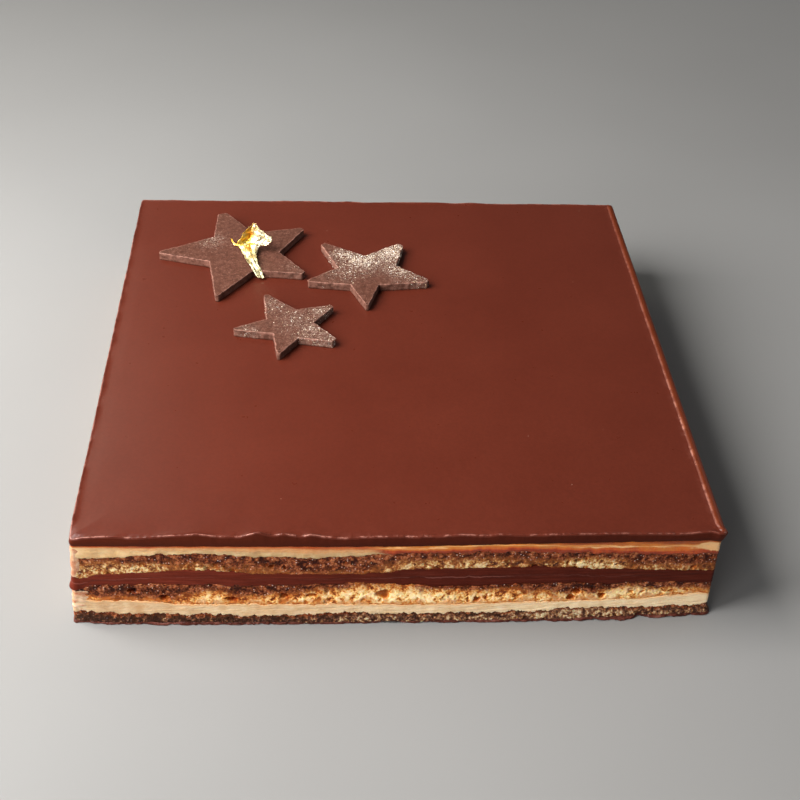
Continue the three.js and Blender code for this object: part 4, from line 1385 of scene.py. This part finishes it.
def fold_lift(t, s):
    """The leaf's lift at the shares t of its length and s of its width, in flat triangular facets."""
    places = [place for place, _ in LEAF_FOLDS]
    lifts = np.array([row for _, row in LEAF_FOLDS])
    at_t = np.interp(np.clip(t + 0.035 * np.sin(7 * s + 1), 0, 1), places, np.arange(len(places)))
    at_s = np.clip(s + 0.05 * np.sin(9 * t), 0, 1) * 4
    low_t, low_s = np.minimum(at_t.astype(int), len(places) - 2), np.minimum(at_s.astype(int), 3)
    share_t, share_s = at_t - low_t, at_s - low_s
    a, b = lifts[low_t, low_s], lifts[low_t, low_s + 1]
    c, d = lifts[low_t + 1, low_s], lifts[low_t + 1, low_s + 1]
    return np.where(share_t + share_s > 1, d + (c - d) * (1 - share_s) + (b - d) * (1 - share_t),
                    a + (b - a) * share_s + (c - a) * share_t)


def add_gold_leaf():
    steps, strips = 180, 70
    left = torn_edge(LEAF_LEFT_EDGE, steps, 11)
    right = torn_edge(LEAF_RIGHT_EDGE, steps, 12)
    t = np.linspace(0, 1, steps)[:, None]
    s = np.linspace(0, 1, strips)[None, :]
    sheet = left[:, None] + (right - left)[:, None] * s[..., None]
    even_left, even_right = smooth_curve(LEAF_LEFT_EDGE, steps), smooth_curve(LEAF_RIGHT_EDGE, steps)
    facing = unit(np.cross(even_right - even_left, np.gradient(even_left + even_right, axis=0)))
    lift = fold_lift(t, s)
    draw = np.random.default_rng(5)
    for octave in range(3):
        angle, phase = draw.uniform(0, np.pi), draw.uniform(0, 6)
        wave = np.abs(np.sin(9 * 1.7 ** octave * (s * math.cos(angle) + 2 * t * math.sin(angle)) + phase))
        lift = lift + 0.16 / 1.6 ** octave * (wave - 0.6)
    sheet = sheet + facing[:, None] * lift[..., None]
    half = facing[:, None] * LEAF_THICKNESS / 2
    # Painted reflection in the deep folds of the upright part.
    fold_reflection = np.clip(-lift * 1.1, 0, 1) * np.clip((0.92 - t) * 12, 0, 1) * np.clip((t - 0.5) * 12, 0, 1)
    lying = np.clip((0.42 - t) * 8, 0, 1)
    mesh = mesh_from_sheet("gold_leaf", sheet + half, sheet - half, dict(fold_reflection=fold_reflection, lying=lying))
    keep_piece(new_piece("gold_flake", mesh, GOLD), "gold_leaf")


def add_wisp():
    curve = smooth_curve(WISP, 40)
    t = np.linspace(0, 1, 40)[:, None, None]
    s = np.linspace(-1, 1, 7)[None, :, None]
    width = 0.12 + 0.55 * t ** 2 + 0.15 * np.sin(t * 21)
    sheet = curve[:, None] + s * width * np.array([0.5, 0.6, 0.35])
    half = np.array([0, 0, 0.04])
    # The wisp takes a little of the painted reflection all over.
    mesh = mesh_from_sheet("gold_wisp", sheet + half, sheet - half, dict(fold_reflection=0.3, lying=0.0))
    keep_piece(new_piece("gold_wisp", mesh, GOLD))


add_gold_leaf()
add_wisp()
